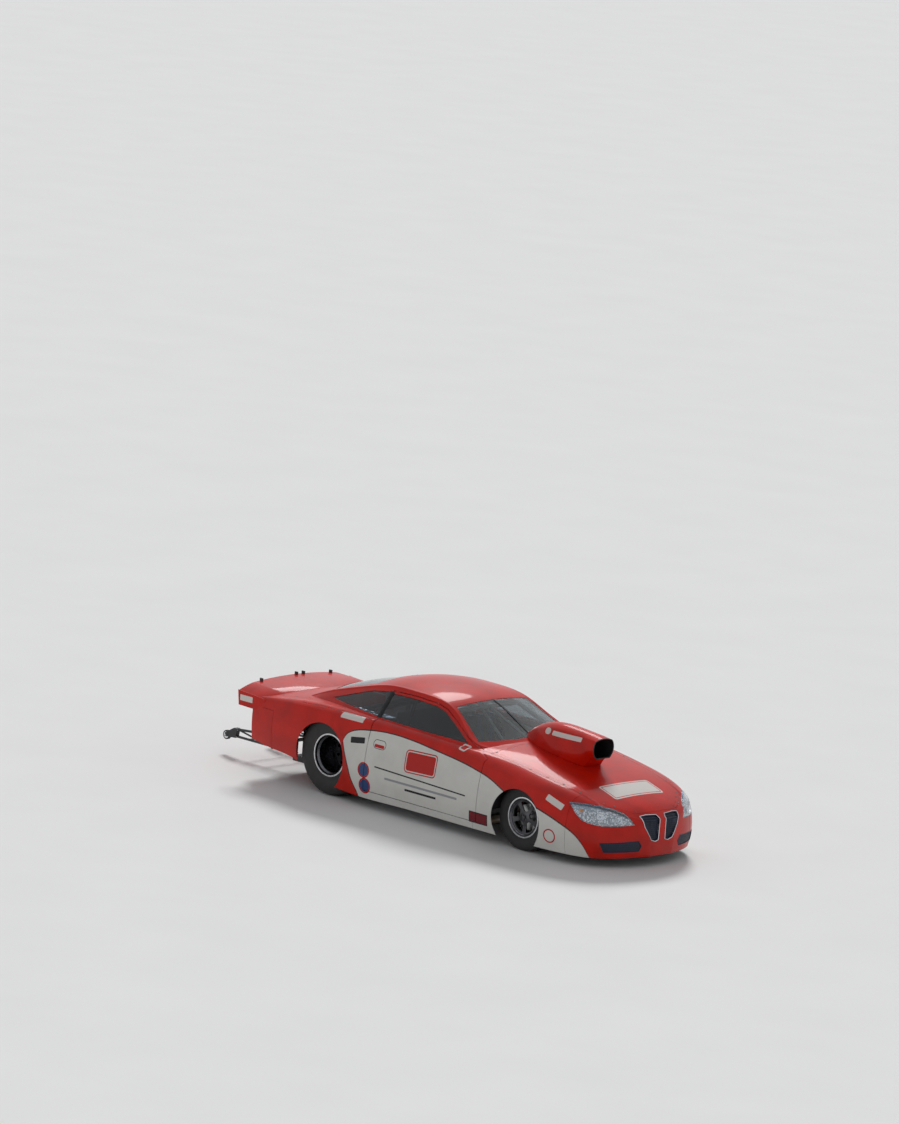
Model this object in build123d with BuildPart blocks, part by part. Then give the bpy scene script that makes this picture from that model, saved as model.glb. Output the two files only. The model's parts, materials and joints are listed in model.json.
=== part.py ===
from build123d import *
import os
from math import cos, radians, sin

# Overall places, in millimetres. +X is forward, +Y is the car's left, +Z is up.
FRONT_AXLE_X = 1800
WHEELBASE = 2667
REAR_AXLE_X = FRONT_AXLE_X - WHEELBASE
BODY_HALF_WIDTH = 918
BODY_TAIL_X = -2040
NOSE_X = 2900

# Wheels and tyres.
FRONT_TYRE_RADIUS = 330
FRONT_TYRE_HALF_WIDTH = 57
FRONT_BEAD_RADIUS = 192
FRONT_WHEEL_Y = BODY_HALF_WIDTH - 163
REAR_TYRE_RADIUS = 412
REAR_TYRE_HALF_WIDTH = 215
REAR_BEAD_RADIUS = 208
REAR_WHEEL_Y = BODY_HALF_WIDTH - 288
KINGPIN_Y = FRONT_WHEEL_Y - 100
HUB_Z = FRONT_TYRE_RADIUS
REAR_HUB_Z = REAR_TYRE_RADIUS

# Fits.
RUNNING_GAP = 0.5
SEAT_GAP = 0.3
DOOR_GAP = 6

# Body skin.
WALL = 12
DOOR_WALL = 36
GLASS_SET_IN = 4
GLASS_THICKNESS = 5
SHEET = 4

# The sections and outlines below are drawn for this wheelbase and this half-width.
DRAWN_WHEELBASE = 2667
DRAWN_HALF_WIDTH = 918


def along(x):
    """Where a drawn station goes: stretched between the axles, carried with the rear axle behind it."""
    drawn_rear = FRONT_AXLE_X - DRAWN_WHEELBASE
    if x >= FRONT_AXLE_X:
        return x
    if x <= drawn_rear:
        return x + REAR_AXLE_X - drawn_rear
    return FRONT_AXLE_X + (x - FRONT_AXLE_X) * WHEELBASE / DRAWN_WHEELBASE


def across(y):
    """Where a drawn width goes when the body is wider or narrower."""
    return y * BODY_HALF_WIDTH / DRAWN_HALF_WIDTH


# Stations along the car.
TAIL_X = along(BODY_TAIL_X)
FENDER_REAR_X = along(1215)
FIREWALL_X = along(1085)
DOOR_REAR_X = along(-300)
HOOP_X = along(-60)
DECK_FRONT_X = along(-1330)
BUMPER_FRONT_X = along(-1700)
FRAME_TAIL_X = along(-1850)
NOSE_SEAM_X = 2390
FRAME_NOSE_X = 2560
TUB_FRONT_X = REAR_AXLE_X + REAR_TYRE_RADIUS + 60
TUB_REAR_X = REAR_AXLE_X - REAR_TYRE_RADIUS - 51

# Running gear and frame.
DRIVE_LINE_Z = 330
FLOOR_Z = 110
FLOOR_TOP = FLOOR_Z + SHEET
RAIL_Y = 330
RAIL_WIDTH = 60
RAIL_TOP = FLOOR_TOP + RAIL_WIDTH
RAIL_INNER_Y = RAIL_Y - RAIL_WIDTH / 2
RAIL_OUTER_Y = RAIL_Y + RAIL_WIDTH / 2
CAGE_TUBE = 41
CAGE_Y = across(610)
TUB_INNER_Y = REAR_WHEEL_Y - REAR_TYRE_HALF_WIDTH - 18
SILL_TOP = 175

# Cross-sections of the lower body, nose to tail. Each row gives the station, then
# half-width and height of the sill, the widest point, the shoulder and the top edge,
# and last the height of the crown on the centre line.
LOWER_BODY = [
    # x,   sill y, z,   wide y, z,  shoulder y, z, top y, z,  crown z
    (NOSE_X, 150, 105, 175, 250, 150, 420, 105, 458, 466),
    (2846, 357, 102, 388, 262, 346, 443, 272, 485, 510),
    (2780, 510, 98, 545, 280, 490, 470, 400, 522, 556),
    (2600, 720, 92, 755, 330, 695, 540, 565, 595, 632),
    (2350, 820, 95, 850, 390, 795, 605, 660, 670, 705),
    (1950, 875, 100, 903, 430, 858, 670, 705, 745, 790),
    (1500, 885, 105, 910, 450, 862, 730, 715, 812, 865),
    (950, 885, 105, 908, 450, 835, 800, 740, 850, 915),
    (200, 885, 105, 908, 450, 830, 840, 740, 880, 930),
    (-500, 890, 105, 912, 500, 845, 850, 735, 900, 940),
    (-900, 890, 160, 915, 520, 850, 850, 725, 900, 945),
    (-1350, 865, 290, 890, 560, 842, 840, 730, 875, 925),
    (-1700, 830, 315, 850, 560, 815, 800, 745, 830, 880),
    (BODY_TAIL_X, 780, 345, 800, 560, 785, 760, 740, 785, 845),
]

# Cross-sections of the cabin: station, half-width and height of its foot, half-width
# and height of the roof rail, and the height of the roof on the centre line.
CABIN = [
    # x,  foot y, z,  rail y, z,  roof z
    (1220, 500, 800, 460, 835, 880),
    (960, 760, 800, 690, 890, 990),
    (720, 785, 810, 622, 1020, 1112),
    (480, 800, 820, 562, 1145, 1202),
    (50, 805, 830, 550, 1195, 1265),
    (-400, 795, 840, 540, 1182, 1252),
    (-800, 760, 840, 540, 1090, 1160),
    (-1200, 700, 820, 560, 975, 1045),
    (-1550, 640, 780, 560, 835, 875),
]
RAIL_ROUND = 22

# Cross-sections of the hood scoop, mouth to tail.
SCOOP = [
    # x,  foot y, z,  wide y, z,  edge y, z,  top z
    (2055, 98, 888, 150, 980, 122, 1070, 1095),
    (1990, 108, 872, 158, 976, 124, 1076, 1104),
    (1900, 125, 770, 168, 960, 124, 1082, 1116),
    (1700, 170, 760, 190, 940, 132, 1094, 1134),
    (1450, 180, 780, 182, 950, 128, 1092, 1138),
    (1250, 140, 800, 140, 930, 95, 1045, 1088),
    (1060, 60, 850, 52, 905, 30, 952, 966),
]
SCOOP_MOUTH = (2075, 98, 892, 149, 981, 121, 1069, 1092)
SCOOP_WALL = 10

# Cross-sections of the rear spoiler's tray: height at its ends, at its knees and in its
# middle, and its depth.
SPOILER = [
    # x, end z, knee z, middle z, depth
    (-1690, 700, 790, 872, 30),
    (-1790, 745, 826, 886, 34),
    (-1900, 778, 852, 896, 22),
    (-2080, 795, 864, 901, 13),
    (-2262, 803, 868, 903, 8),
]
SPOILER_HALF_WIDTH = across(800)
SPOILER_KNEE_Y = across(600)

# Outlines of panels and openings.
HOOD_EDGE = [
    (FENDER_REAR_X, across(712)), (1500, across(705)), (1950, across(688)), (2350, across(640)),
    (2480, across(612)), (2600, across(550)), (2670, across(470)), (2745, across(385)),
    (2795, across(300)), (2812, across(190)), (2822, 0),
]
HOOD_PLAN = HOOD_EDGE + [(x, -y) for x, y in reversed(HOOD_EDGE[:-1])]
DOOR_FRONT_X = along(1255)
DOOR_OUTLINE = [(along(x), z) for x, z in [
    (1255, 181), (1255, 806), (985, 872), (470, 1122), (330, 1152), (50, 1166), (-290, 1160), (-300, 181),
]]
DOOR_BELT = [(along(x), z) for x, z in [
    (1400, 0), (1400, 760), (1255, 806), (985, 868), (-400, 908), (-400, 0),
]]
DOOR_WINDOW = [(along(x), z) for x, z in [
    (915, 880), (466, 1100), (328, 1130), (46, 1144), (-276, 1139), (-280, 906),
]]
QUARTER_WINDOW = [(along(x), z) for x, z in [
    (-326, 1148), (-326, 912), (-1095, 944), (-830, 1030), (-575, 1112),
]]
WINDSHIELD_PLAN = [(along(x), across(y)) for x, y in [
    (975, 640), (740, 572), (515, 508), (528, 250), (532, 0), (528, -250), (515, -508),
    (740, -572), (975, -640), (1050, -455), (1100, -250), (1122, 0), (1100, 250), (1050, 455),
]]
REAR_WINDOW_PLAN = [(along(x), across(y)) for x, y in [
    (-640, 455), (-620, 230), (-615, 0), (-620, -230), (-640, -455), (-1180, -500),
    (-1210, -250), (-1218, 0), (-1210, 250), (-1180, 500),
]]
BELT = [
    (FENDER_REAR_X, 700), (FENDER_REAR_X, 1400), (DECK_FRONT_X, 1400), (DECK_FRONT_X, 866),
    (along(-1060), 882), (DOOR_REAR_X, 882), (DOOR_REAR_X, 700),
]
DECK_HALF_WIDTH = across(655)
BUMPER_TOP = 700
FRONT_ARCH_X = FRONT_AXLE_X - 24
FRONT_ARCH_Z = HUB_Z - 30
FRONT_ARCH_RADIUS = FRONT_TYRE_RADIUS - 12
REAR_ARCH_X = REAR_AXLE_X - 77
REAR_ARCH_Z = REAR_HUB_Z - 26
REAR_ARCH_RADIUS = REAR_TYRE_RADIUS - 63
HEADLIGHT = [
    # x, y, z on the skin
    (2367, -787, 604), (2488, -709, 608), (2602, -601, 592), (2690, -509, 568),
    (2775, -440, 532), (2849, -430, 489), (2890, -410, 427), (2804, -557, 414),
    (2692, -679, 415), (2592, -744, 434), (2527, -772, 455), (2452, -788, 517),
]
GRILLE = [(across(y), z) for y, z in [
    (-268, 503), (-190, 510), (-60, 505), (-44, 480), (-44, 400), (-48, 262), (-90, 250), (-150, 268),
    (-235, 400),
]]
INTAKE = [(across(y), z) for y, z in [(-672, 250), (-300, 268), (-262, 215), (-290, 165), (-630, 158)]]
TAIL_LIGHT = [(across(y), z) for y, z in [(-700, 585), (-380, 600), (-380, 668), (-690, 668)]]


def prism(plane, points, depth, grow=0, mode=Mode.ADD):
    """A straight prism on a plane from corner points, grown outwards by a margin."""
    with BuildSketch(plane) as outline:
        with BuildLine():
            Polyline(*points, close=True)
        make_face()
        if grow:
            offset(amount=grow, kind=Kind.INTERSECTION, mode=Mode.REPLACE)
    extrude(outline.sketch, amount=depth, mode=mode)


def side_prism(points, y_low, y_high, grow=0, mode=Mode.ADD):
    """A prism across the car, from (x, z) points."""
    plane = Plane(origin=(0, y_high, 0), x_dir=(1, 0, 0), z_dir=(0, -1, 0))
    prism(plane, points, y_high - y_low, grow, mode)


def plan_prism(points, z_low, z_high, grow=0, mode=Mode.ADD):
    """An upright prism, from (x, y) points."""
    prism(Plane.XY.offset(z_low), points, z_high - z_low, grow, mode)


def front_prism(points, x_low, x_high, grow=0, mode=Mode.ADD):
    """A prism along the car, from (y, z) points."""
    prism(Plane.YZ.offset(x_low), points, x_high - x_low, grow, mode)


def block(x_low, x_high, y_low, y_high, z_low, z_high, mode=Mode.ADD):
    """A rectangular block between two opposite corners."""
    with Locations(((x_low + x_high) / 2, (y_low + y_high) / 2, (z_low + z_high) / 2)):
        Box(x_high - x_low, y_high - y_low, z_high - z_low, mode=mode)


def rod(start, end, diameter, mode=Mode.ADD):
    """A round bar between two points."""
    first = Vector(*start)
    last = Vector(*end)
    with BuildSketch(Plane(origin=first, z_dir=last - first)) as disc:
        Circle(diameter / 2)
    extrude(disc.sketch, amount=(last - first).length, mode=mode)


def ring(start, end, outer, bore):
    """A round sleeve between two points."""
    first = Vector(*start)
    last = Vector(*end)
    with BuildSketch(Plane(origin=first, z_dir=last - first)) as annulus:
        Circle(outer / 2)
        Circle(bore / 2, mode=Mode.SUBTRACT)
    extrude(annulus.sketch, amount=(last - first).length)


def tube_run(points, diameter, mode=Mode.ADD):
    """Straight tubes with ball corners, along a run of points."""
    for start, end in zip(points, points[1:]):
        rod(start, end, diameter, mode)
    for corner in points[1:-1]:
        with Locations(corner):
            Sphere(diameter / 2 + 0.5, mode=mode)


def spun(profile, centre, axis, mode=Mode.ADD):
    """A solid of revolution about an axis, from (along, radius) points."""
    spin_plane = Plane(origin=centre, x_dir=axis, z_dir=Vector(*axis).cross(Vector(0, 0, 1)))
    with BuildSketch(spin_plane) as half_section:
        with BuildLine():
            Polyline(*profile, close=True)
        make_face()
    revolve(half_section.sketch, axis=Axis(centre, axis), mode=mode)


def lower_body(wall, mode=Mode.ADD):
    """The lower body lofted nose to tail, drawn in from the skin by a wall."""
    sections = []
    for x, sill, z_sill, wide, z_wide, shoulder, z_shoulder, top, z_top, crown in LOWER_BODY:
        station = along(x)
        sill, wide, shoulder, top = across(sill), across(wide), across(shoulder), across(top)
        if wall:
            if x == NOSE_X:
                station -= wall
            if x == BODY_TAIL_X:
                station += wall
            sill -= wall
            z_sill -= 20
            wide -= wall
            shoulder -= wall * 0.9
            z_shoulder -= wall * 0.5
            top -= wall * 0.4
            z_top -= wall
            crown -= wall
        bulge_y = (shoulder + top) / 2 + 10
        bulge_z = (z_shoulder + z_top) / 2 + 10
        with BuildSketch(Plane.YZ.offset(station)) as section:
            with BuildLine():
                Line((-sill, z_sill), (sill, z_sill))
                ThreePointArc((sill, z_sill), (wide, z_wide), (shoulder, z_shoulder))
                ThreePointArc((shoulder, z_shoulder), (bulge_y, bulge_z), (top, z_top))
                ThreePointArc((top, z_top), (0, crown), (-top, z_top))
                ThreePointArc((-top, z_top), (-bulge_y, bulge_z), (-shoulder, z_shoulder))
                ThreePointArc((-shoulder, z_shoulder), (-wide, z_wide), (-sill, z_sill))
            make_face()
        sections.append(section.sketch)
    loft(sections, mode=mode)


def cabin(wall, mode=Mode.ADD):
    """The cabin lofted front to back, drawn in from the skin by a wall."""
    sections = []
    for x, foot, z_foot, rail, z_rail, roof in CABIN:
        foot, rail = across(foot), across(rail)
        if wall:
            foot -= wall
            z_foot -= 20
            rail -= wall * 0.8
            z_rail -= wall * 0.8
            roof -= wall
        side = ((foot + rail) / 2 + 8, (z_foot + z_rail) / 2)
        edge = (rail - RAIL_ROUND, z_rail + RAIL_ROUND * 0.64)
        turn = (rail - RAIL_ROUND * 0.32, z_rail + RAIL_ROUND * 0.5)
        with BuildSketch(Plane.YZ.offset(along(x))) as section:
            with BuildLine():
                Line((-foot, z_foot), (foot, z_foot))
                ThreePointArc((foot, z_foot), side, (rail, z_rail))
                ThreePointArc((rail, z_rail), turn, edge)
                ThreePointArc(edge, (0, roof), (-edge[0], edge[1]))
                ThreePointArc((-edge[0], edge[1]), (-turn[0], turn[1]), (-rail, z_rail))
                ThreePointArc((-rail, z_rail), (-side[0], side[1]), (-foot, z_foot))
            make_face()
        sections.append(section.sketch)
    loft(sections, mode=mode)


def scoop(wall, rows, mode=Mode.ADD):
    """The scoop lofted mouth to tail, drawn in from its skin by a wall."""
    sections = []
    for x, foot, z_foot, wide, z_wide, edge, z_edge, top in rows:
        foot -= wall
        z_foot += wall
        wide -= wall
        edge -= wall
        z_edge -= wall * 0.6
        top -= wall
        with BuildSketch(Plane.YZ.offset(x)) as section:
            with BuildLine():
                Line((-foot, z_foot), (foot, z_foot))
                ThreePointArc((foot, z_foot), (wide, z_wide), (edge, z_edge))
                ThreePointArc((edge, z_edge), (0, top), (-edge, z_edge))
                ThreePointArc((-edge, z_edge), (-wide, z_wide), (-foot, z_foot))
            make_face()
        sections.append(section.sketch)
    loft(sections, mode=mode)


os.makedirs("parts", exist_ok=True)


def finish(name, piece):
    """Label a finished piece and write it to its own file."""
    piece.part.label = name
    export_step(piece.part, f"parts/{name}.step")


# The body as outer and inner solids, and the skins between them.
with BuildPart() as outer_body:
    lower_body(0)
    cabin(0)
with BuildPart() as inner_body:
    lower_body(WALL)
    cabin(WALL)
with BuildPart() as door_inner_body:
    lower_body(DOOR_WALL)
    cabin(DOOR_WALL)
with BuildPart() as skin:
    add(outer_body.part)
    add(inner_body.part, mode=Mode.SUBTRACT)
with BuildPart() as door_skin:
    add(outer_body.part)
    add(door_inner_body.part, mode=Mode.SUBTRACT)
with BuildPart() as glass_skin:
    cabin(GLASS_SET_IN)
    cabin(GLASS_SET_IN + GLASS_THICKNESS, mode=Mode.SUBTRACT)

# Cutting shapes that several panels share.
with BuildPart() as door_holes:
    side_prism(DOOR_OUTLINE, -1200, -400, DOOR_GAP)
    mirror(about=Plane.XZ)
with BuildPart() as hood_column:
    plan_prism(HOOD_PLAN, 380, 1300)
with BuildPart() as belt_prism:
    side_prism(BELT, -1200, 1200)
with BuildPart() as deck_column:
    block(TAIL_X - 60, DECK_FRONT_X, -DECK_HALF_WIDTH, DECK_HALF_WIDTH, BUMPER_TOP, 1300)
with BuildPart() as bumper_block:
    block(TAIL_X - 60, BUMPER_FRONT_X, -1200, 1200, 0, BUMPER_TOP)

# The headlight opening is cut square to the corner of the nose.
LAMP_ACROSS = Vector(523, 377, 0).normalized()
LAMP_OUT = Vector(377, -523, 0).normalized()
LAMP_ORIGIN = Vector(2628, across(-598), 500)
LAMP_PLANE = Plane(origin=LAMP_ORIGIN - LAMP_OUT * 200, x_dir=LAMP_ACROSS, z_dir=LAMP_OUT)
lamp_reaches = [Vector(x, across(y), z) - LAMP_ORIGIN for x, y, z in HEADLIGHT]
LAMP_POINTS = [(reach.dot(LAMP_ACROSS), reach.Z) for reach in lamp_reaches]
with BuildPart() as lamp_holes:
    prism(LAMP_PLANE, LAMP_POINTS, 450)
    mirror(about=Plane.XZ)

# Nose cover, with openings for the lamps, the twin grille and the lower intakes.
with BuildPart() as grille_holes:
    front_prism(GRILLE, 2740, 3000)
    front_prism(INTAKE, 2640, 3000)
    mirror(about=Plane.XZ)
with BuildPart() as nose_cover:
    add(skin.part)
    block(NOSE_SEAM_X, 3000, -1200, 1200, 0, 900, mode=Mode.INTERSECT)
    add(hood_column.part, mode=Mode.SUBTRACT)
    add(lamp_holes.part, mode=Mode.SUBTRACT)
    add(grille_holes.part, mode=Mode.SUBTRACT)
finish("nose_cover", nose_cover)

# Hood, with the air opening under the scoop.
with BuildPart() as hood:
    add(skin.part)
    add(hood_column.part, mode=Mode.INTERSECT)
    block(FENDER_REAR_X, 3000, -1200, 1200, 380, 1000, mode=Mode.INTERSECT)
    add(lamp_holes.part, mode=Mode.SUBTRACT)
    add(grille_holes.part, mode=Mode.SUBTRACT)
    block(1290, 1610, -110, 110, 700, 1000, mode=Mode.SUBTRACT)
finish("hood", hood)

# Hood scoop: a teardrop that stands on the hood, open at its mouth and below.
with BuildPart() as hood_scoop:
    scoop(0, SCOOP)
    scoop(SCOOP_WALL, [SCOOP_MOUTH] + SCOOP[1:6], mode=Mode.SUBTRACT)
    add(outer_body.part, mode=Mode.SUBTRACT)
finish("hood_scoop", hood_scoop)

# Roof with its pillars, and the cowl in front of the windshield.
with BuildPart() as roof_and_pillars:
    add(skin.part)
    add(belt_prism.part, mode=Mode.INTERSECT)
    add(door_holes.part, mode=Mode.SUBTRACT)
    plan_prism(WINDSHIELD_PLAN, 850, 1300, mode=Mode.SUBTRACT)
    plan_prism(REAR_WINDOW_PLAN, 850, 1300, mode=Mode.SUBTRACT)
    side_prism(QUARTER_WINDOW, -1200, -400, mode=Mode.SUBTRACT)
    side_prism(QUARTER_WINDOW, 400, 1200, mode=Mode.SUBTRACT)
finish("roof_and_pillars", roof_and_pillars)

# Quarter panels behind the doors, each with its wheel arch.
with BuildPart() as right_quarter:
    add(skin.part)
    block(TAIL_X - 60, DOOR_REAR_X, -1200, 0, 0, 1000, mode=Mode.INTERSECT)
    add(belt_prism.part, mode=Mode.SUBTRACT)
    add(deck_column.part, mode=Mode.SUBTRACT)
    add(bumper_block.part, mode=Mode.SUBTRACT)
    rod((REAR_ARCH_X, -1200, REAR_ARCH_Z), (REAR_ARCH_X, 0, REAR_ARCH_Z), 2 * REAR_ARCH_RADIUS, Mode.SUBTRACT)
    add(door_holes.part, mode=Mode.SUBTRACT)
finish("right_quarter", right_quarter)
with BuildPart() as left_quarter:
    mirror(right_quarter.part, about=Plane.XZ)
finish("left_quarter", left_quarter)

# Deck lid.
with BuildPart() as deck_lid:
    add(skin.part)
    add(deck_column.part, mode=Mode.INTERSECT)
finish("deck_lid", deck_lid)

# Rear bumper cover, with the bracket for the parachute pack.
with BuildPart() as rear_bumper:
    add(skin.part)
    add(bumper_block.part, mode=Mode.INTERSECT)
    front_prism(TAIL_LIGHT, TAIL_X - 60, TAIL_X + 50, mode=Mode.SUBTRACT)
    front_prism([(-y, z) for y, z in TAIL_LIGHT], TAIL_X - 60, TAIL_X + 50, mode=Mode.SUBTRACT)
    block(TAIL_X - 15, TAIL_X, -120, 120, 450, 610)
finish("rear_bumper", rear_bumper)

# Sills under the doors.
with BuildPart() as sills:
    add(door_skin.part)
    block(DOOR_REAR_X, FENDER_REAR_X, -1200, 1200, 0, SILL_TOP, mode=Mode.INTERSECT)
finish("sills", sills)

# Doors and front fenders, joined by two hinges a side. The pin stands on the fender.
HINGE_X = DOOR_FRONT_X + 3
HINGE_Y = across(910)
HINGE_LENGTH = 60
HINGE_HEIGHTS = [300, 520]
BARREL = 16
PIN = 9
KNUCKLE = 13
NOTCH = BARREL + 3
LEAF = (-2, across(12))


def on_hinge(z):
    """A point on the right door's hinge axis."""
    return (HINGE_X, -HINGE_Y, z)


with BuildPart() as door_frame:
    add(skin.part)
    side_prism(DOOR_OUTLINE, -1200, -400, mode=Mode.INTERSECT)
with BuildPart() as right_door:
    add(door_skin.part)
    side_prism(DOOR_OUTLINE, -1200, -400, mode=Mode.INTERSECT)
    side_prism(DOOR_BELT, -1200, 0, mode=Mode.INTERSECT)
    add(door_frame.part)
    side_prism(DOOR_WINDOW, -1200, -400, mode=Mode.SUBTRACT)
    for low in HINGE_HEIGHTS:
        high = low + HINGE_LENGTH
        rod(on_hinge(low - 1), on_hinge(low + KNUCKLE + 1), NOTCH, Mode.SUBTRACT)
        rod(on_hinge(high - KNUCKLE - 1), on_hinge(high + 1), NOTCH, Mode.SUBTRACT)
        rod(on_hinge(low), on_hinge(high), PIN + 2 * RUNNING_GAP, Mode.SUBTRACT)
        ring(on_hinge(low + KNUCKLE + 1), on_hinge(high - KNUCKLE - 1), BARREL, PIN + 2 * RUNNING_GAP)
        block(HINGE_X - 24, HINGE_X - PIN / 2 - 1, -HINGE_Y + LEAF[0], -HINGE_Y + LEAF[1], low + KNUCKLE + 1,
              high - KNUCKLE - 1)
finish("right_door", right_door)
with BuildPart() as left_door:
    mirror(right_door.part, about=Plane.XZ)
finish("left_door", left_door)
with BuildPart() as right_fender:
    add(skin.part)
    block(FENDER_REAR_X, NOSE_SEAM_X, -1200, 0, 0, 1000, mode=Mode.INTERSECT)
    add(hood_column.part, mode=Mode.SUBTRACT)
    rod((FRONT_ARCH_X, -1200, FRONT_ARCH_Z), (FRONT_ARCH_X, 0, FRONT_ARCH_Z), 2 * FRONT_ARCH_RADIUS,
        Mode.SUBTRACT)
    add(door_holes.part, mode=Mode.SUBTRACT)
    add(lamp_holes.part, mode=Mode.SUBTRACT)
    for low in HINGE_HEIGHTS:
        high = low + HINGE_LENGTH
        rod(on_hinge(low + KNUCKLE), on_hinge(high - KNUCKLE), NOTCH, Mode.SUBTRACT)
        rod(on_hinge(low), on_hinge(high), PIN)
        for z_low, z_high in ((low, low + KNUCKLE), (high - KNUCKLE, high)):
            rod(on_hinge(z_low), on_hinge(z_high), BARREL)
            block(HINGE_X, HINGE_X + 24, -HINGE_Y + LEAF[0], -HINGE_Y + LEAF[1], z_low, z_high)
finish("right_fender", right_fender)
with BuildPart() as left_fender:
    mirror(right_fender.part, about=Plane.XZ)
finish("left_fender", left_fender)

# Glazing, each pane a little smaller than its opening.
with BuildPart() as right_door_window:
    add(glass_skin.part)
    side_prism(DOOR_WINDOW, -1200, -400, -SEAT_GAP, Mode.INTERSECT)
finish("right_door_window", right_door_window)
with BuildPart() as left_door_window:
    mirror(right_door_window.part, about=Plane.XZ)
finish("left_door_window", left_door_window)
with BuildPart() as windshield:
    add(glass_skin.part)
    plan_prism(WINDSHIELD_PLAN, 850, 1300, -SEAT_GAP, Mode.INTERSECT)
finish("windshield", windshield)
with BuildPart() as rear_window:
    add(glass_skin.part)
    plan_prism(REAR_WINDOW_PLAN, 850, 1300, -SEAT_GAP, Mode.INTERSECT)
finish("rear_window", rear_window)
with BuildPart() as quarter_windows:
    add(glass_skin.part)
    side_prism(QUARTER_WINDOW, -1200, -400, -SEAT_GAP, Mode.INTERSECT)
    mirror(about=Plane.XZ)
finish("quarter_windows", quarter_windows)

# Headlights, grille and intake screens, tail lights.
with BuildPart() as headlights:
    add(outer_body.part)
    lower_body(WALL + 20, mode=Mode.SUBTRACT)
    prism(LAMP_PLANE, LAMP_POINTS, 450, -SEAT_GAP, Mode.INTERSECT)
    block(2000, 3000, -1200, -200, 0, 900, mode=Mode.INTERSECT)
    mirror(about=Plane.XZ)
finish("headlights", headlights)
with BuildPart() as screen_outlines:
    front_prism(GRILLE, 2740, 3000, -SEAT_GAP)
    front_prism(INTAKE, 2640, 3000, -SEAT_GAP)
with BuildPart() as grilles:
    lower_body(10)
    lower_body(22, mode=Mode.SUBTRACT)
    add(screen_outlines.part, mode=Mode.INTERSECT)
    mirror(about=Plane.XZ)
finish("grilles", grilles)
with BuildPart() as tail_lights:
    add(outer_body.part)
    front_prism(TAIL_LIGHT, TAIL_X - 60, TAIL_X + 22, -SEAT_GAP, Mode.INTERSECT)
    mirror(about=Plane.XZ)
finish("tail_lights", tail_lights)

# Flat tray under the nose, against the rails.
TRAY_REAR_X = FRONT_AXLE_X + 320
with BuildPart() as front_tray:
    add(inner_body.part)
    block(TRAY_REAR_X, NOSE_X - 15, -1200, 1200, FLOOR_TOP - 8, FLOOR_TOP, mode=Mode.INTERSECT)
finish("front_tray", front_tray)

# Liners before and behind each front wheel, open at the top for the strut.
LINER_RADIUS = FRONT_TYRE_RADIUS + 44
LINER_INNER_Y = KINGPIN_Y - 95


def liner_sector(first, last):
    """The corners of a wedge round the front hub, between two angles in degrees."""
    reach = 2 * LINER_RADIUS
    rim = [(FRONT_AXLE_X + reach * cos(radians(a)), HUB_Z + reach * sin(radians(a))) for a in (first, last)]
    return [(FRONT_AXLE_X, HUB_Z)] + rim


with BuildPart() as liner_wedges:
    side_prism(liner_sector(-25, 78), -1200, -LINER_INNER_Y)
    side_prism(liner_sector(102, 178), -1200, -LINER_INNER_Y)
with BuildPart() as wheel_liners:
    lower_body(WALL + SEAT_GAP)
    rod((FRONT_AXLE_X, -1200, HUB_Z), (FRONT_AXLE_X, 0, HUB_Z), 2 * LINER_RADIUS + 2 * SHEET, Mode.INTERSECT)
    rod((FRONT_AXLE_X, -1200, HUB_Z), (FRONT_AXLE_X, 0, HUB_Z), 2 * LINER_RADIUS, Mode.SUBTRACT)
    add(liner_wedges.part, mode=Mode.INTERSECT)
    mirror(about=Plane.XZ)
finish("wheel_liners", wheel_liners)

# Frame: two boxed rails with uprights and jack pads, cross-members let in between them, the
# steering rack's housing on two posts, and a tow tongue behind the last cross-member.
RACK_X = FRONT_AXLE_X + 140
RACK_Z = 300
RACK = 24
RACK_HOUSING = 44
LINK_PLATE_X = REAR_AXLE_X + 367
TONGUE_X = FRAME_TAIL_X - 35
TONGUE_Z = 144
TONGUE_BORE = 22
TONGUE_WIDTH = 50
TONGUE_THICKNESS = 12
JACK_PAD_X = FIREWALL_X + 215
JACK_PAD = (100, 60, 6)
with BuildPart() as frame:
    block(FRAME_TAIL_X, FRAME_NOSE_X, -RAIL_OUTER_Y, -RAIL_INNER_Y, FLOOR_TOP, RAIL_TOP)
    block(LINK_PLATE_X, LINK_PLATE_X + 20, -RAIL_Y - 12, -RAIL_Y + 12, RAIL_TOP - 1, 430)
    with Locations((JACK_PAD_X, -RAIL_Y, FLOOR_TOP)):
        Box(*JACK_PAD, align=(Align.CENTER, Align.CENTER, Align.MAX))
    mirror(about=Plane.XZ)
    for x in (FRAME_NOSE_X - 40, FRONT_AXLE_X + 300, REAR_AXLE_X - 433, FRAME_TAIL_X):
        block(x, x + 40, -RAIL_INNER_Y + SEAT_GAP, RAIL_INNER_Y - SEAT_GAP, FLOOR_TOP + 5, RAIL_TOP - 5)
    with BuildSketch(Plane.XY.offset(TONGUE_Z - TONGUE_THICKNESS / 2)):
        with Locations((TONGUE_X, 0)):
            Circle(TONGUE_WIDTH / 2)
            with Locations((18, 0)):
                Rectangle(36, TONGUE_WIDTH)
            Circle(TONGUE_BORE / 2, mode=Mode.SUBTRACT)
    extrude(amount=TONGUE_THICKNESS)
    for side in (-1, 1):
        post_y = (side * RAIL_INNER_Y, side * (RAIL_INNER_Y + 45))
        block(RACK_X - 30, RACK_X + 30, min(post_y), max(post_y), RAIL_TOP + SEAT_GAP, RACK_Z + 30)
    rod((RACK_X, -400, RACK_Z), (RACK_X, 400, RACK_Z), 36, Mode.SUBTRACT)
    ring((RACK_X, -RAIL_INNER_Y, RACK_Z), (RACK_X, RAIL_INNER_Y, RACK_Z), RACK_HOUSING,
         RACK + 2 * RUNNING_GAP)
finish("frame", frame)

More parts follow.
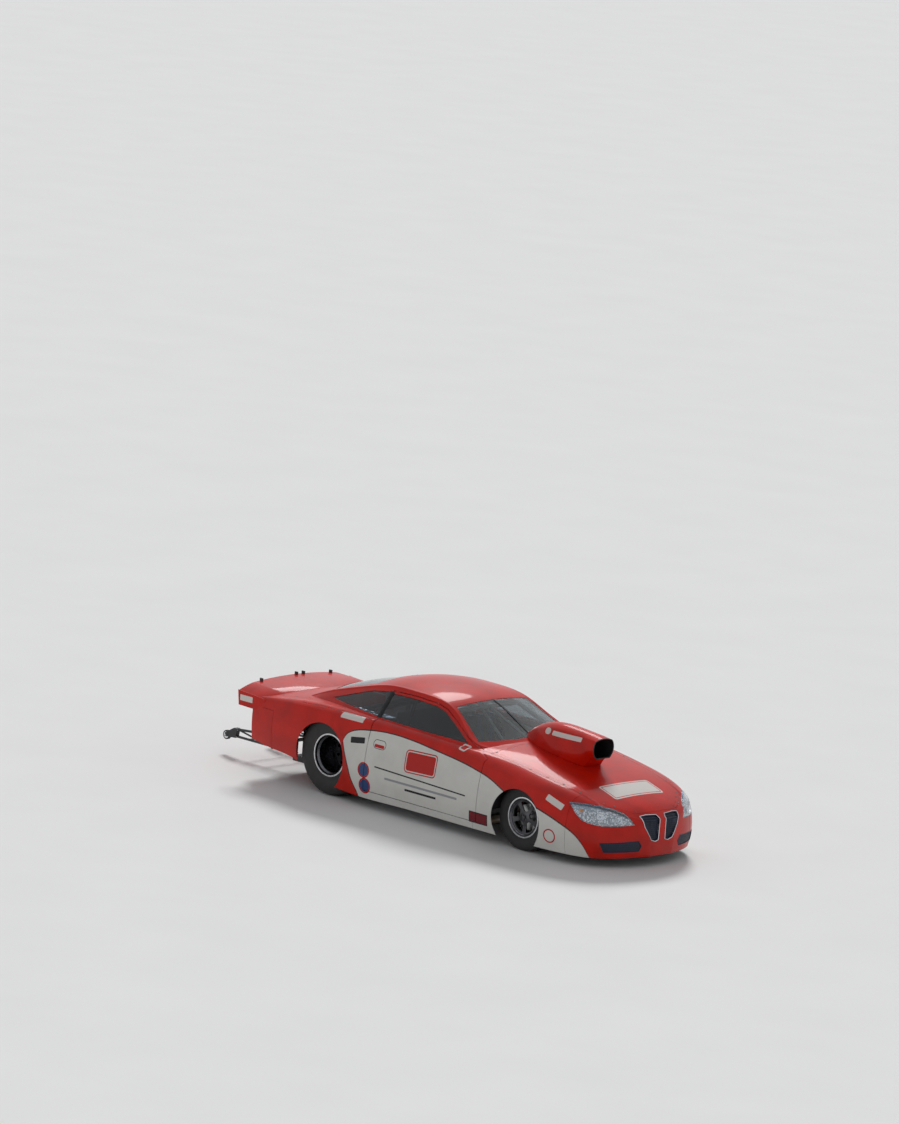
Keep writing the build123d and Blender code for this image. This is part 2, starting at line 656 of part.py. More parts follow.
# The room that floor, cage and chassis pieces leave round the rails.
with BuildPart() as rail_room:
    block(FRAME_TAIL_X - 100, FRAME_NOSE_X + 100, -RAIL_OUTER_Y - SEAT_GAP, -RAIL_INNER_Y + SEAT_GAP,
          FLOOR_TOP, RAIL_TOP + SEAT_GAP)
    mirror(about=Plane.XZ)

# Floor with its drive-line tunnel and the firewalls.
TUNNEL_OUTSIDE = [(-160, FLOOR_TOP - 1), (-160, 330), (-115, 445), (0, 490), (115, 445), (160, 330),
                  (160, FLOOR_TOP - 1)]
TUNNEL_INSIDE = [(-156, 0), (-156, 329), (-112, 441), (0, 485), (112, 441), (156, 329), (156, 0)]
FIREWALL = [
    (across(-700), FLOOR_TOP - 1), (across(-700), 760), (across(-620), 830), (across(620), 830),
    (across(700), 760), (across(700), FLOOR_TOP - 1),
]
REAR_FIREWALL_Y = TUB_INNER_Y - 1
with BuildPart() as firewalls:
    front_prism(FIREWALL, FIREWALL_X, FIREWALL_X + SHEET)
    block(TUB_FRONT_X, TUB_FRONT_X + SHEET, -REAR_FIREWALL_Y, REAR_FIREWALL_Y, FLOOR_TOP - 1, 905)
    add(rail_room.part, mode=Mode.SUBTRACT)
with BuildPart() as floor_and_firewalls:
    add(door_inner_body.part)
    block(TUB_FRONT_X, FIREWALL_X + SHEET, -1200, 1200, FLOOR_Z, FLOOR_TOP, mode=Mode.INTERSECT)
    front_prism(TUNNEL_OUTSIDE, TUB_FRONT_X, FIREWALL_X)
    add(firewalls.part)
    front_prism(TUNNEL_INSIDE, TUB_FRONT_X - 100, FIREWALL_X + 100, mode=Mode.SUBTRACT)
finish("floor_and_firewalls", floor_and_firewalls)

# Boxed housings over the rear tyres, open below and cut short behind.
TUB_TOP = 2 * REAR_TYRE_RADIUS + 27
with BuildPart() as rear_wheel_tubs:
    block(TUB_REAR_X, TUB_FRONT_X, across(-760), -TUB_INNER_Y, FLOOR_TOP, TUB_TOP)
    block(TUB_REAR_X + 3, TUB_FRONT_X - 3, -1200, -TUB_INNER_Y - 3, 0, TUB_TOP - 3, mode=Mode.SUBTRACT)
    rod((REAR_AXLE_X, -REAR_WHEEL_Y, REAR_HUB_Z), (REAR_AXLE_X, 0, REAR_HUB_Z), 130, Mode.SUBTRACT)
    block(TUB_REAR_X - 70, REAR_AXLE_X - 253, -1200, -300, 0, REAR_HUB_Z - 122, mode=Mode.SUBTRACT)
    mirror(about=Plane.XZ)
finish("rear_wheel_tubs", rear_wheel_tubs)

# Roll cage: a main hoop, and tubes that are notched round each other where they meet.
HOOP_TOP_Y = across(470)
HOOP_TOP_Z = 1135
HALO_X = along(430)
HALO_Z = 1088
FRONT_LEG_X = along(1000)
FRONT_LEG_Y = across(622)
STAY_KNEE = (along(-1280), 280, 700)
HOOP_RUN = [
    (HOOP_X, -CAGE_Y, FLOOR_TOP), (HOOP_X, -CAGE_Y, 790), (HOOP_X, -HOOP_TOP_Y, HOOP_TOP_Z),
    (HOOP_X, HOOP_TOP_Y, HOOP_TOP_Z), (HOOP_X, CAGE_Y, 790), (HOOP_X, CAGE_Y, FLOOR_TOP),
]
SIDE_RUN = [
    (HOOP_X, -HOOP_TOP_Y, HOOP_TOP_Z), (HALO_X, -HOOP_TOP_Y, HALO_Z), (FRONT_LEG_X, -FRONT_LEG_Y, 822),
    (FRONT_LEG_X, -FRONT_LEG_Y, FLOOR_TOP),
]
STAY_RUN = [
    (HOOP_X, -HOOP_TOP_Y, HOOP_TOP_Z), (STAY_KNEE[0], -STAY_KNEE[1], STAY_KNEE[2]),
    (along(-1560), -RAIL_Y, RAIL_TOP),
]
CAGE_ROOM = CAGE_TUBE + 2 * SEAT_GAP
BRACE_TUBE = 30
HARNESS_BAR = 36
with BuildPart() as hoop:
    tube_run(HOOP_RUN, CAGE_TUBE)
    rod((HOOP_X, -CAGE_Y, 640), (HOOP_X, CAGE_Y, 640), HARNESS_BAR)
with BuildPart() as hoop_room:
    tube_run(HOOP_RUN, CAGE_ROOM)
with BuildPart() as side_tubes:
    tube_run(SIDE_RUN, CAGE_TUBE)
    tube_run(STAY_RUN, CAGE_TUBE)
    add(hoop_room.part, mode=Mode.SUBTRACT)
    mirror(about=Plane.XZ)
with BuildPart() as side_room:
    tube_run(SIDE_RUN, CAGE_ROOM)
    tube_run(STAY_RUN, CAGE_ROOM)
    mirror(about=Plane.XZ)
STAY_TIE_X = REAR_AXLE_X
STAY_TIE_Z = HOOP_TOP_Z - (HOOP_TOP_Z - STAY_KNEE[2]) * (HOOP_X - STAY_TIE_X) / (HOOP_X - STAY_KNEE[0])
STAY_TIE_Y = HOOP_TOP_Y - (HOOP_TOP_Y - STAY_KNEE[1]) * (HOOP_X - STAY_TIE_X) / (HOOP_X - STAY_KNEE[0])
DASH_BAR_Z = 770
with BuildPart() as cage_ties:
    rod((FRONT_LEG_X, -FRONT_LEG_Y, DASH_BAR_Z), (FRONT_LEG_X, FRONT_LEG_Y, DASH_BAR_Z), CAGE_TUBE)
    rod((HALO_X, -HOOP_TOP_Y, HALO_Z), (HALO_X, HOOP_TOP_Y, HALO_Z), CAGE_TUBE)
    rod((STAY_TIE_X, -STAY_TIE_Y, STAY_TIE_Z), (STAY_TIE_X, STAY_TIE_Y, STAY_TIE_Z), CAGE_TUBE)
    for side in (-1, 1):
        rod((HOOP_X, side * CAGE_Y, 300), (FRONT_LEG_X, side * FRONT_LEG_Y, 470), CAGE_TUBE)
        rod((HOOP_X, side * CAGE_Y, 600), (FRONT_LEG_X, side * FRONT_LEG_Y, 260), CAGE_TUBE)
    add(hoop_room.part, mode=Mode.SUBTRACT)
    add(side_room.part, mode=Mode.SUBTRACT)
with BuildPart() as tie_room:
    rod((FRONT_LEG_X, -FRONT_LEG_Y, DASH_BAR_Z), (FRONT_LEG_X, FRONT_LEG_Y, DASH_BAR_Z), CAGE_ROOM)
    rod((HALO_X, -HOOP_TOP_Y, HALO_Z), (HALO_X, HOOP_TOP_Y, HALO_Z), CAGE_ROOM)
with BuildPart() as cage_braces:
    for side in (-1, 1):
        rod((HALO_X, side * 60, HALO_Z), (FRONT_LEG_X, side * 200, DASH_BAR_Z), BRACE_TUBE)
    rod((HOOP_X, -HOOP_TOP_Y, HOOP_TOP_Z), (HALO_X, HOOP_TOP_Y, HALO_Z), BRACE_TUBE)
    add(hoop_room.part, mode=Mode.SUBTRACT)
    add(side_room.part, mode=Mode.SUBTRACT)
    add(tie_room.part, mode=Mode.SUBTRACT)
with BuildPart() as roll_cage:
    add(hoop.part)
    add(side_tubes.part)
    add(cage_ties.part)
    add(cage_braces.part)
    add(rail_room.part, mode=Mode.SUBTRACT)
finish("roll_cage", roll_cage)

# Engine as one plain block at its real place, on a mounting plate between the rails.
ENGINE_FRONT_X = along(1690)
ENGINE_REAR_X = ENGINE_FRONT_X - 550
PLATE_ROOM = 11
ENGINE_BASE_Z = RAIL_TOP + PLATE_ROOM
ENGINE_SECTION = [
    (-150, ENGINE_BASE_Z), (150, ENGINE_BASE_Z), (185, 420), (320, 545), (250, 640), (130, 620), (130, 820),
    (-130, 820), (-130, 620), (-250, 640), (-320, 545), (-185, 420),
]
with BuildPart() as engine_block:
    front_prism(ENGINE_SECTION, ENGINE_REAR_X, ENGINE_FRONT_X)
    rod((ENGINE_FRONT_X - 1, 0, DRIVE_LINE_Z), (ENGINE_FRONT_X + 55, 0, DRIVE_LINE_Z), 190)
    block(ENGINE_REAR_X + 240, ENGINE_REAR_X + 300, -RAIL_Y, RAIL_Y, RAIL_TOP + SEAT_GAP,
          ENGINE_BASE_Z - SEAT_GAP)
finish("engine_block", engine_block)

# Gearbox and bell housing.
GEARBOX_REAR_X = ENGINE_REAR_X - 780
with BuildPart() as gearbox:
    spun([
        (0, 0), (0, 138), (-130, 134), (-240, 105), (-660, 100), (-700, 60), (-780, 55), (-780, 0),
    ], (ENGINE_REAR_X, 0, DRIVE_LINE_Z), (1, 0, 0))
finish("gearbox", gearbox)

# Drive shaft between the gearbox and the rear axle.
PINION_X = REAR_AXLE_X + 267
SHAFT_FRONT_X = GEARBOX_REAR_X - RUNNING_GAP
with BuildPart() as drive_shaft:
    spun([
        (PINION_X + RUNNING_GAP, 0), (PINION_X + RUNNING_GAP, 50), (PINION_X + 14, 50), (PINION_X + 60, 32),
        (PINION_X + 90, 45), (SHAFT_FRONT_X - 90, 45), (SHAFT_FRONT_X - 60, 32), (SHAFT_FRONT_X - 14, 50),
        (SHAFT_FRONT_X, 50), (SHAFT_FRONT_X, 0),
    ], (0, 0, DRIVE_LINE_Z), (1, 0, 0))
finish("drive_shaft", drive_shaft)

# Rear axle housing with its link plates and brake calipers.
AXLE_TUBE = 84
AXLE_END_Y = REAR_WHEEL_Y - 160
REAR_DISC_Y = REAR_WHEEL_Y - 140
with BuildPart() as rear_axle_housing:
    block(REAR_AXLE_X + 42, REAR_AXLE_X + 57, -RAIL_Y - 14, -RAIL_Y + 14, 200, 520)
    block(REAR_AXLE_X + 7, REAR_AXLE_X + 57, -RAIL_Y - 14, -RAIL_Y + 14, 340, 480)
    block(REAR_AXLE_X - 155, REAR_AXLE_X - 88, -REAR_DISC_Y + 4, -REAR_DISC_Y + 28, REAR_HUB_Z - 47,
          REAR_HUB_Z + 48)
    block(REAR_AXLE_X - 93, REAR_AXLE_X - 13, -REAR_DISC_Y + 21, -REAR_DISC_Y + 28, REAR_HUB_Z - 32,
          REAR_HUB_Z + 33)
    mirror(about=Plane.XZ)
    rod((REAR_AXLE_X, -AXLE_END_Y, REAR_HUB_Z), (REAR_AXLE_X, AXLE_END_Y, REAR_HUB_Z), AXLE_TUBE)
    spun([(-110, 0), (-110, 90), (-60, 150), (60, 150), (110, 90), (110, 0)],
         (REAR_AXLE_X, 0, REAR_HUB_Z - 20), (0, 1, 0))
    rod((REAR_AXLE_X, 0, DRIVE_LINE_Z), (PINION_X, 0, DRIVE_LINE_Z), 110)
finish("rear_axle_housing", rear_axle_housing)

# Suspension links and dampers at the rear.
DAMPER_Y = 250
with BuildPart() as rear_suspension:
    for z in (235, 395):
        rod((REAR_AXLE_X + 57 + SEAT_GAP, -RAIL_Y, z), (LINK_PLATE_X - SEAT_GAP, -RAIL_Y, z), 24)
    rod((REAR_AXLE_X, -DAMPER_Y, REAR_HUB_Z), (REAR_AXLE_X, -DAMPER_Y, 660), 34)
    rod((REAR_AXLE_X, -DAMPER_Y, 640), (REAR_AXLE_X, -DAMPER_Y, STAY_TIE_Z), 54)
    rod((REAR_AXLE_X, -500, REAR_HUB_Z), (REAR_AXLE_X, 0, REAR_HUB_Z), AXLE_TUBE + 2 * SEAT_GAP,
        Mode.SUBTRACT)
    rod((STAY_TIE_X, -400, STAY_TIE_Z), (STAY_TIE_X, 0, STAY_TIE_Z), CAGE_ROOM, Mode.SUBTRACT)
    mirror(about=Plane.XZ)
finish("rear_suspension", rear_suspension)

# Front struts on brackets from the rails, and lower arms.
STRUT_TOP = HUB_Z + 412
KNUCKLE_BASE = HUB_Z - 125
KNUCKLE_TOP = HUB_Z + 100
with BuildPart() as front_suspension:
    rod((FRONT_AXLE_X, -KINGPIN_Y, KNUCKLE_TOP + RUNNING_GAP), (FRONT_AXLE_X, -KINGPIN_Y, HUB_Z + 270), 40)
    rod((FRONT_AXLE_X, -KINGPIN_Y, HUB_Z + 230), (FRONT_AXLE_X, -KINGPIN_Y, STRUT_TOP), 70)
    block(FRONT_AXLE_X - 30, FRONT_AXLE_X + 30, -KINGPIN_Y - 20, -RAIL_INNER_Y, STRUT_TOP - 42,
          STRUT_TOP - 27)
    block(FRONT_AXLE_X - 30, FRONT_AXLE_X + 30, -RAIL_Y - 15, -RAIL_Y + 15, RAIL_TOP + SEAT_GAP,
          STRUT_TOP - 27)
    rod((FRONT_AXLE_X, -KINGPIN_Y, KNUCKLE_BASE - 29),
        (FRONT_AXLE_X, -KINGPIN_Y, KNUCKLE_BASE - RUNNING_GAP), 54)
    for reach in (-110, 110):
        rod((FRONT_AXLE_X, -KINGPIN_Y, KNUCKLE_BASE - 15), (FRONT_AXLE_X + reach, -RAIL_OUTER_Y - 2, 150), 24)
    block(FRONT_AXLE_X - 200, FRONT_AXLE_X + 200, -RAIL_OUTER_Y - SEAT_GAP, -RAIL_INNER_Y + SEAT_GAP,
          FLOOR_TOP, RAIL_TOP + SEAT_GAP, mode=Mode.SUBTRACT)
    mirror(about=Plane.XZ)
finish("front_suspension", front_suspension)

# Steering knuckle: upright, spindle, forward steering arm and brake caliper.
with BuildPart() as right_knuckle:
    rod((FRONT_AXLE_X, -KINGPIN_Y, KNUCKLE_BASE), (FRONT_AXLE_X, -KINGPIN_Y, KNUCKLE_TOP), 50)
    rod((FRONT_AXLE_X, -KINGPIN_Y, HUB_Z), (FRONT_AXLE_X, -FRONT_WHEEL_Y - 45, HUB_Z), 34)
    block(FRONT_AXLE_X, RACK_X + 12, -KINGPIN_Y - 9, -KINGPIN_Y + 9, RACK_Z - 38, RACK_Z - 22)
    rod((RACK_X, -KINGPIN_Y, RACK_Z - 30), (RACK_X, -KINGPIN_Y, RACK_Z + 30), 12)
    block(FRONT_AXLE_X - 145, FRONT_AXLE_X, -KINGPIN_Y - 18, -KINGPIN_Y + 12, HUB_Z - 14, HUB_Z + 14)
    block(FRONT_AXLE_X - 145, FRONT_AXLE_X - 75, -KINGPIN_Y - 30, -KINGPIN_Y + 12, HUB_Z - 60, HUB_Z + 60)
finish("right_knuckle", right_knuckle)
with BuildPart() as left_knuckle:
    mirror(right_knuckle.part, about=Plane.XZ)
finish("left_knuckle", left_knuckle)

# Steering rack with tie rods whose eyes go round the knuckle pins.
EYE = 46
EYE_BORE = 28
with BuildPart() as steering_rack:
    rod((RACK_X, -RAIL_INNER_Y - 100, RACK_Z), (RACK_X, RAIL_INNER_Y + 100, RACK_Z), RACK)
    for side in (-1, 1):
        rod((RACK_X, side * (RAIL_INNER_Y + 99), RACK_Z), (RACK_X, side * (KINGPIN_Y - 18), RACK_Z), 14)
        ring((RACK_X, side * KINGPIN_Y, RACK_Z - 8), (RACK_X, side * KINGPIN_Y, RACK_Z + 8), EYE, EYE_BORE)
finish("steering_rack", steering_rack)

# Wheels: profiles of (along the hub, radius) points, outwards from the wheel's middle.
front_tread = FRONT_TYRE_HALF_WIDTH - 13
FRONT_TYRE = [
    (-front_tread, FRONT_TYRE_RADIUS), (front_tread, FRONT_TYRE_RADIUS),
    (FRONT_TYRE_HALF_WIDTH - 5, FRONT_TYRE_RADIUS - 10),
    (FRONT_TYRE_HALF_WIDTH, FRONT_TYRE_RADIUS - 40), (FRONT_TYRE_HALF_WIDTH, 250),
    (50, FRONT_BEAD_RADIUS + 8),
    (50, FRONT_BEAD_RADIUS), (34, FRONT_BEAD_RADIUS), (34, 214), (44, 250), (46, FRONT_TYRE_RADIUS - 45),
    (38, FRONT_TYRE_RADIUS - 18), (-38, FRONT_TYRE_RADIUS - 18), (-46, FRONT_TYRE_RADIUS - 45),
    (-44, 250), (-34, 214),
    (-34, FRONT_BEAD_RADIUS), (-50, FRONT_BEAD_RADIUS), (-50, FRONT_BEAD_RADIUS + 8),
    (-FRONT_TYRE_HALF_WIDTH, 250),
    (-FRONT_TYRE_HALF_WIDTH, FRONT_TYRE_RADIUS - 40), (-FRONT_TYRE_HALF_WIDTH + 5, FRONT_TYRE_RADIUS - 10),
]
FRONT_RIM = [
    (-56, 203), (-51, 203), (-51, 191.5), (-40, 190), (-30, 172), (30, 172), (40, 190), (51, 191.5),
    (51, 203),
    (56, 203), (56, 182), (44, 178), (36, 164), (26, 160), (26, 60), (30, 36), (20, 36), (20, 60), (18, 160),
    (-36, 164), (-44, 178), (-56, 182),
]
FRONT_HUB = [
    (19.5, 18), (19.5, 70), (10, 70), (10, 40), (-32, 40), (-32, 132), (-44, 132), (-44, 34), (-50, 34),
    (-50, 18),
]
rear_tread = REAR_TYRE_HALF_WIDTH - 45
REAR_TYRE = [
    (-rear_tread, REAR_TYRE_RADIUS), (rear_tread, REAR_TYRE_RADIUS), (198, REAR_TYRE_RADIUS - 12),
    (212, REAR_TYRE_RADIUS - 42), (REAR_TYRE_HALF_WIDTH, 320), (208, 260), (203, REAR_BEAD_RADIUS + 8),
    (203, REAR_BEAD_RADIUS), (180, REAR_BEAD_RADIUS), (180, 235), (192, 300), (190, REAR_TYRE_RADIUS - 52),
    (165, REAR_TYRE_RADIUS - 18), (-165, REAR_TYRE_RADIUS - 18), (-190, REAR_TYRE_RADIUS - 52), (-192, 300),
    (-180, 235), (-180, REAR_BEAD_RADIUS), (-203, REAR_BEAD_RADIUS), (-203, REAR_BEAD_RADIUS + 8),
    (-208, 260),
    (-REAR_TYRE_HALF_WIDTH, 320), (-212, REAR_TYRE_RADIUS - 42), (-198, REAR_TYRE_RADIUS - 12),
]
REAR_RIM = [
    (-209, 220), (-204, 220), (-204, 207.5), (-178, 206), (-160, 184), (160, 184), (178, 206), (204, 207.5),
    (204, 220), (209, 220), (209, 200), (184, 197), (166, 176), (-58, 176), (-64, 150), (-64, 42), (-76, 42),
    (-76, 150), (-72, 176), (-166, 176), (-184, 197), (-209, 200),
]
REAR_HUB = [
    (-159.5, 0), (-159.5, 30), (-140, 36), (-140, 150), (-128, 150), (-128, 36), (-92, 36), (-92, 78),
    (-76.5, 78), (-76.5, 40), (-40, 34), (-40, 0),
]
for side, name in ((-1, "right"), (1, "left")):
    front_centre = (FRONT_AXLE_X, side * FRONT_WHEEL_Y, HUB_Z)
    rear_centre = (REAR_AXLE_X, side * REAR_WHEEL_Y, REAR_HUB_Z)
    outwards = (0, side, 0)
    with BuildPart() as front_tyre:
        spun(FRONT_TYRE, front_centre, outwards)
    finish(f"{name}_front_tyre", front_tyre)
    with BuildPart() as front_rim:
        spun(FRONT_RIM, front_centre, outwards)
        spun(FRONT_HUB, front_centre, outwards)
    finish(f"{name}_front_rim", front_rim)
    with BuildPart() as rear_tyre:
        spun(REAR_TYRE, rear_centre, outwards)
    finish(f"{name}_rear_tyre", rear_tyre)
    with BuildPart() as rear_rim:
        spun(REAR_RIM, rear_centre, outwards)
        spun(REAR_HUB, rear_centre, outwards)
    finish(f"{name}_rear_rim", rear_rim)

# Exhaust headers: four pipes a side into one collector.
PIPE = 50
COLLECTOR = (ENGINE_REAR_X + 245, -526, 238)
with BuildPart() as exhausts:
    rod((ENGINE_REAR_X + 255, -520, 240), (ENGINE_REAR_X + 60, -640, 158), 2 * PIPE)
    for port in range(4):
        port_x = ENGINE_REAR_X + 60 + 130 * port
        tube_run([(port_x, -300, 560), (port_x, -420, 470), COLLECTOR], PIPE)
    front_prism(ENGINE_SECTION, ENGINE_REAR_X - 40, ENGINE_FRONT_X + 10, mode=Mode.SUBTRACT)
    mirror(about=Plane.XZ)
finish("exhausts", exhausts)

# Wheelie bar: two braced ladders behind the frame, each with a plate and a small wheel.
ROLLER_RADIUS = 48
ROLLER_X = FRAME_TAIL_X - 1002
ROLLER_Y = RAIL_Y
ROLLER_Z = 177
BAR_TUBE = 26
BAR_END_X = ROLLER_X + 130
BAR_LOW_Z = 186
BAR_HIGH_Z = 259
BAR_ROOT_X = FRAME_TAIL_X + 20
BAR_ROOT_Z = 333
ROLLER_FORK = [
    (ROLLER_X - 16, ROLLER_Z - 16), (ROLLER_X - 10, ROLLER_Z + 24), (BAR_END_X - 14, BAR_HIGH_Z + 14),
    (BAR_END_X + 30, BAR_HIGH_Z + 14), (BAR_END_X + 16, BAR_LOW_Z - 14),
]
with BuildPart() as wheelie_bar:
    rod((BAR_ROOT_X, -ROLLER_Y, BAR_LOW_Z), (BAR_END_X, -ROLLER_Y, BAR_LOW_Z), BAR_TUBE)
    rod((BAR_ROOT_X, -ROLLER_Y, BAR_ROOT_Z), (BAR_END_X + 12, -ROLLER_Y, BAR_HIGH_Z), BAR_TUBE)
    rod((BAR_ROOT_X, -ROLLER_Y, RAIL_TOP), (BAR_ROOT_X, -ROLLER_Y, BAR_ROOT_Z + 10), BAR_TUBE)
    rod((BAR_ROOT_X - 430, -ROLLER_Y, BAR_LOW_Z), (BAR_ROOT_X - 430, -ROLLER_Y, BAR_ROOT_Z - 37), 18)
    rod((BAR_ROOT_X - 430, -ROLLER_Y, BAR_LOW_Z), (BAR_END_X + 30, -ROLLER_Y, BAR_HIGH_Z), 18)
    side_prism(ROLLER_FORK, -ROLLER_Y - 26, -ROLLER_Y + 26)
    block(ROLLER_X - 60, ROLLER_X + 60, -ROLLER_Y - 20, -ROLLER_Y + 20, 0, 300, mode=Mode.SUBTRACT)
    rod((ROLLER_X, -ROLLER_Y - 26, ROLLER_Z), (ROLLER_X, -ROLLER_Y + 26, ROLLER_Z), 12)
    mirror(about=Plane.XZ)
    for x in (BAR_ROOT_X - 430, BAR_END_X + 190):
        rod((x, -ROLLER_Y, BAR_LOW_Z), (x, ROLLER_Y, BAR_LOW_Z), 20)
    rod((BAR_ROOT_X, -ROLLER_Y, BAR_ROOT_Z), (BAR_ROOT_X, ROLLER_Y, BAR_ROOT_Z), 20)
    block(FRAME_TAIL_X - SEAT_GAP, FRAME_TAIL_X + 40 + SEAT_GAP, -400, 400, 100, RAIL_TOP + SEAT_GAP,
          mode=Mode.SUBTRACT)
finish("wheelie_bar", wheelie_bar)
ROLLER = [(-14, ROLLER_RADIUS), (14, ROLLER_RADIUS), (18, 44), (18, 6.5), (-18, 6.5), (-18, 44)]
for side, name in ((-1, "right"), (1, "left")):
    with BuildPart() as roller:
        spun(ROLLER, (ROLLER_X, side * ROLLER_Y, ROLLER_Z), (0, side, 0))
    finish(f"{name}_wheelie_wheel", roller)

# Rear spoiler: an arched tray on the deck, with upright end plates.
PLATE_OUT = 6
END_PLATE = [(along(x), z) for x, z in [(-1860, 784), (-2262, 813), (-2240, 660), (-1915, 652)]]
with BuildPart() as rear_spoiler:
    for x, z_end, z_knee, z_mid, depth in SPOILER:
        end, knee = SPOILER_HALF_WIDTH, SPOILER_KNEE_Y
        droop = ((end + knee) / 2, z_end + (z_knee - z_end) * 0.58)
        with BuildSketch(Plane.YZ.offset(along(x))):
            with BuildLine():
                for drop in (0, depth):
                    ThreePointArc((-knee, z_knee - drop), (0, z_mid - drop), (knee, z_knee - drop))
                    ThreePointArc((knee, z_knee - drop), (droop[0], droop[1] - drop), (end, z_end - drop))
                    ThreePointArc((-knee, z_knee - drop), (-droop[0], droop[1] - drop), (-end, z_end - drop))
                Line((end, z_end), (end, z_end - depth))
                Line((-end, z_end), (-end, z_end - depth))
            make_face()
    loft()
    side_prism(END_PLATE, -SPOILER_HALF_WIDTH - PLATE_OUT, -SPOILER_HALF_WIDTH + 1)
    side_prism(END_PLATE, SPOILER_HALF_WIDTH - 1, SPOILER_HALF_WIDTH + PLATE_OUT)
    add(outer_body.part, mode=Mode.SUBTRACT)
    behind = rear_spoiler.part.solids().sort_by(Axis.X)[0]
    add(behind, mode=Mode.INTERSECT)
finish("rear_spoiler", rear_spoiler)

# Parachute pack on a bracket behind the bumper.
with BuildPart() as parachute_pack:
    with Locations((TAIL_X - 105, 0, 530)):
        Box(180, 300, 200)
    fillet(parachute_pack.edges(), 22)
finish("parachute_pack", parachute_pack)

# Driver's seat on a box over the rail.
SEAT_Y = 370
SEAT_X = HOOP_X + 60
SEAT_HALF_WIDTH = 190
CUSHION_HALF_WIDTH = 165
SEAT_SIDE = [(SEAT_X + x, z) for x, z in [
    (560, 150), (560, 260), (480, 380), (220, 420), (210, 760), (60, 900), (0, 900), (40, 150),
]]
CUSHION = [(SEAT_X + x, z) for x, z in [
    (600, 262), (470, 292), (202, 252), (152, 292), (60, 902), (900, 902), (900, 262),
]]
with BuildPart() as driver_seat:
    side_prism(SEAT_SIDE, SEAT_Y - SEAT_HALF_WIDTH, SEAT_Y + SEAT_HALF_WIDTH)
    side_prism(CUSHION, SEAT_Y - CUSHION_HALF_WIDTH, SEAT_Y + CUSHION_HALF_WIDTH, mode=Mode.SUBTRACT)
    block(SEAT_X + 80, SEAT_X + 480, SEAT_Y - 140, SEAT_Y + 140, FLOOR_TOP, 152)
    block(SEAT_X - 100, SEAT_X + 600, RAIL_INNER_Y - SEAT_GAP, RAIL_OUTER_Y + SEAT_GAP, 0,
          RAIL_TOP + SEAT_GAP, mode=Mode.SUBTRACT)
finish("driver_seat", driver_seat)

# Dashboard with its stay and the steering column.
COLUMN_TILT = radians(20)
COLUMN = 22
WHEEL_CENTRE = Vector(FIREWALL_X - 525, SEAT_Y, 640)
COLUMN_AXIS = Vector(cos(COLUMN_TILT), 0, -sin(COLUMN_TILT))
COLUMN_LENGTH = (FIREWALL_X - WHEEL_CENTRE.X) / cos(COLUMN_TILT)
DASH_HALF_WIDTH = across(560)
DASH = [(-DASH_HALF_WIDTH, 640), (-DASH_HALF_WIDTH, 740), (DASH_HALF_WIDTH, 740), (DASH_HALF_WIDTH, 640),
        (480, 620), (-480, 620)]


def on_column(reach):
    """A point on the steering column's axis, ahead of the steering wheel."""
    return tuple(WHEEL_CENTRE + COLUMN_AXIS * reach)


with BuildPart() as dashboard:
    front_prism(DASH, FIREWALL_X - 155, FIREWALL_X - 25)
    block(FIREWALL_X - 185, FIREWALL_X - 39, -DASH_HALF_WIDTH + 12, DASH_HALF_WIDTH - 12, 0, 728,
          mode=Mode.SUBTRACT)
    block(FIREWALL_X - 39, FIREWALL_X, -300, 300, 640, 660)
    ring(on_column(200), on_column(COLUMN_LENGTH - 20), 2 * COLUMN, COLUMN + 2 * RUNNING_GAP)
    block(FIREWALL_X - 185, FIREWALL_X, SEAT_Y - 12, SEAT_Y - 4, 430, 530)
    rod(on_column(180), on_column(COLUMN_LENGTH + 60), COLUMN + 2 * RUNNING_GAP, Mode.SUBTRACT)
    rod((FRONT_LEG_X, -FRONT_LEG_Y, DASH_BAR_Z), (FRONT_LEG_X, FRONT_LEG_Y, DASH_BAR_Z), CAGE_ROOM,
        Mode.SUBTRACT)
    block(FIREWALL_X, FIREWALL_X + 200, 0, 700, 0, 900, mode=Mode.SUBTRACT)
finish("dashboard", dashboard)

# Steering wheel on its shaft.
STEER_PLANE = Plane(origin=WHEEL_CENTRE, x_dir=(0, 1, 0), z_dir=COLUMN_AXIS)
with BuildPart() as steering_wheel:
    with Locations(STEER_PLANE):
        Torus(160, 14)
    with BuildSketch(STEER_PLANE.offset(-4)):
        Circle(40)
        with PolarLocations(0, 3, start_angle=-90):
            with Locations((80, 0)):
                Rectangle(160, 34)
    extrude(amount=8)
    rod(on_column(0), on_column(COLUMN_LENGTH - 60), COLUMN)
finish("steering_wheel", steering_wheel)

# Fuel tank in the nose, on two cross-members.
with BuildPart() as fuel_tank:
    block(FRONT_AXLE_X + 305, FRAME_NOSE_X - 5, -230, 230, RAIL_TOP - 5, 400)
    fillet(fuel_tank.edges().filter_by(Axis.Z), 30)
finish("fuel_tank", fuel_tank)
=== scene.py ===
# %% [markdown]
# # A full-bodied drag racing car
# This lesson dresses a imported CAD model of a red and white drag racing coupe. The CAD model is the frame:
# it says where every piece is and what moves with what. Each visible piece is made around it, in metres,
# with +X forward, +Y to the car's left and +Z up, and the ground at z = 0.

# %% Load the frame
import json
import math
from functools import partial
import bmesh
import bpy
import numpy as np
from mathutils import Matrix, Vector
from mathutils.bvhtree import BVHTree

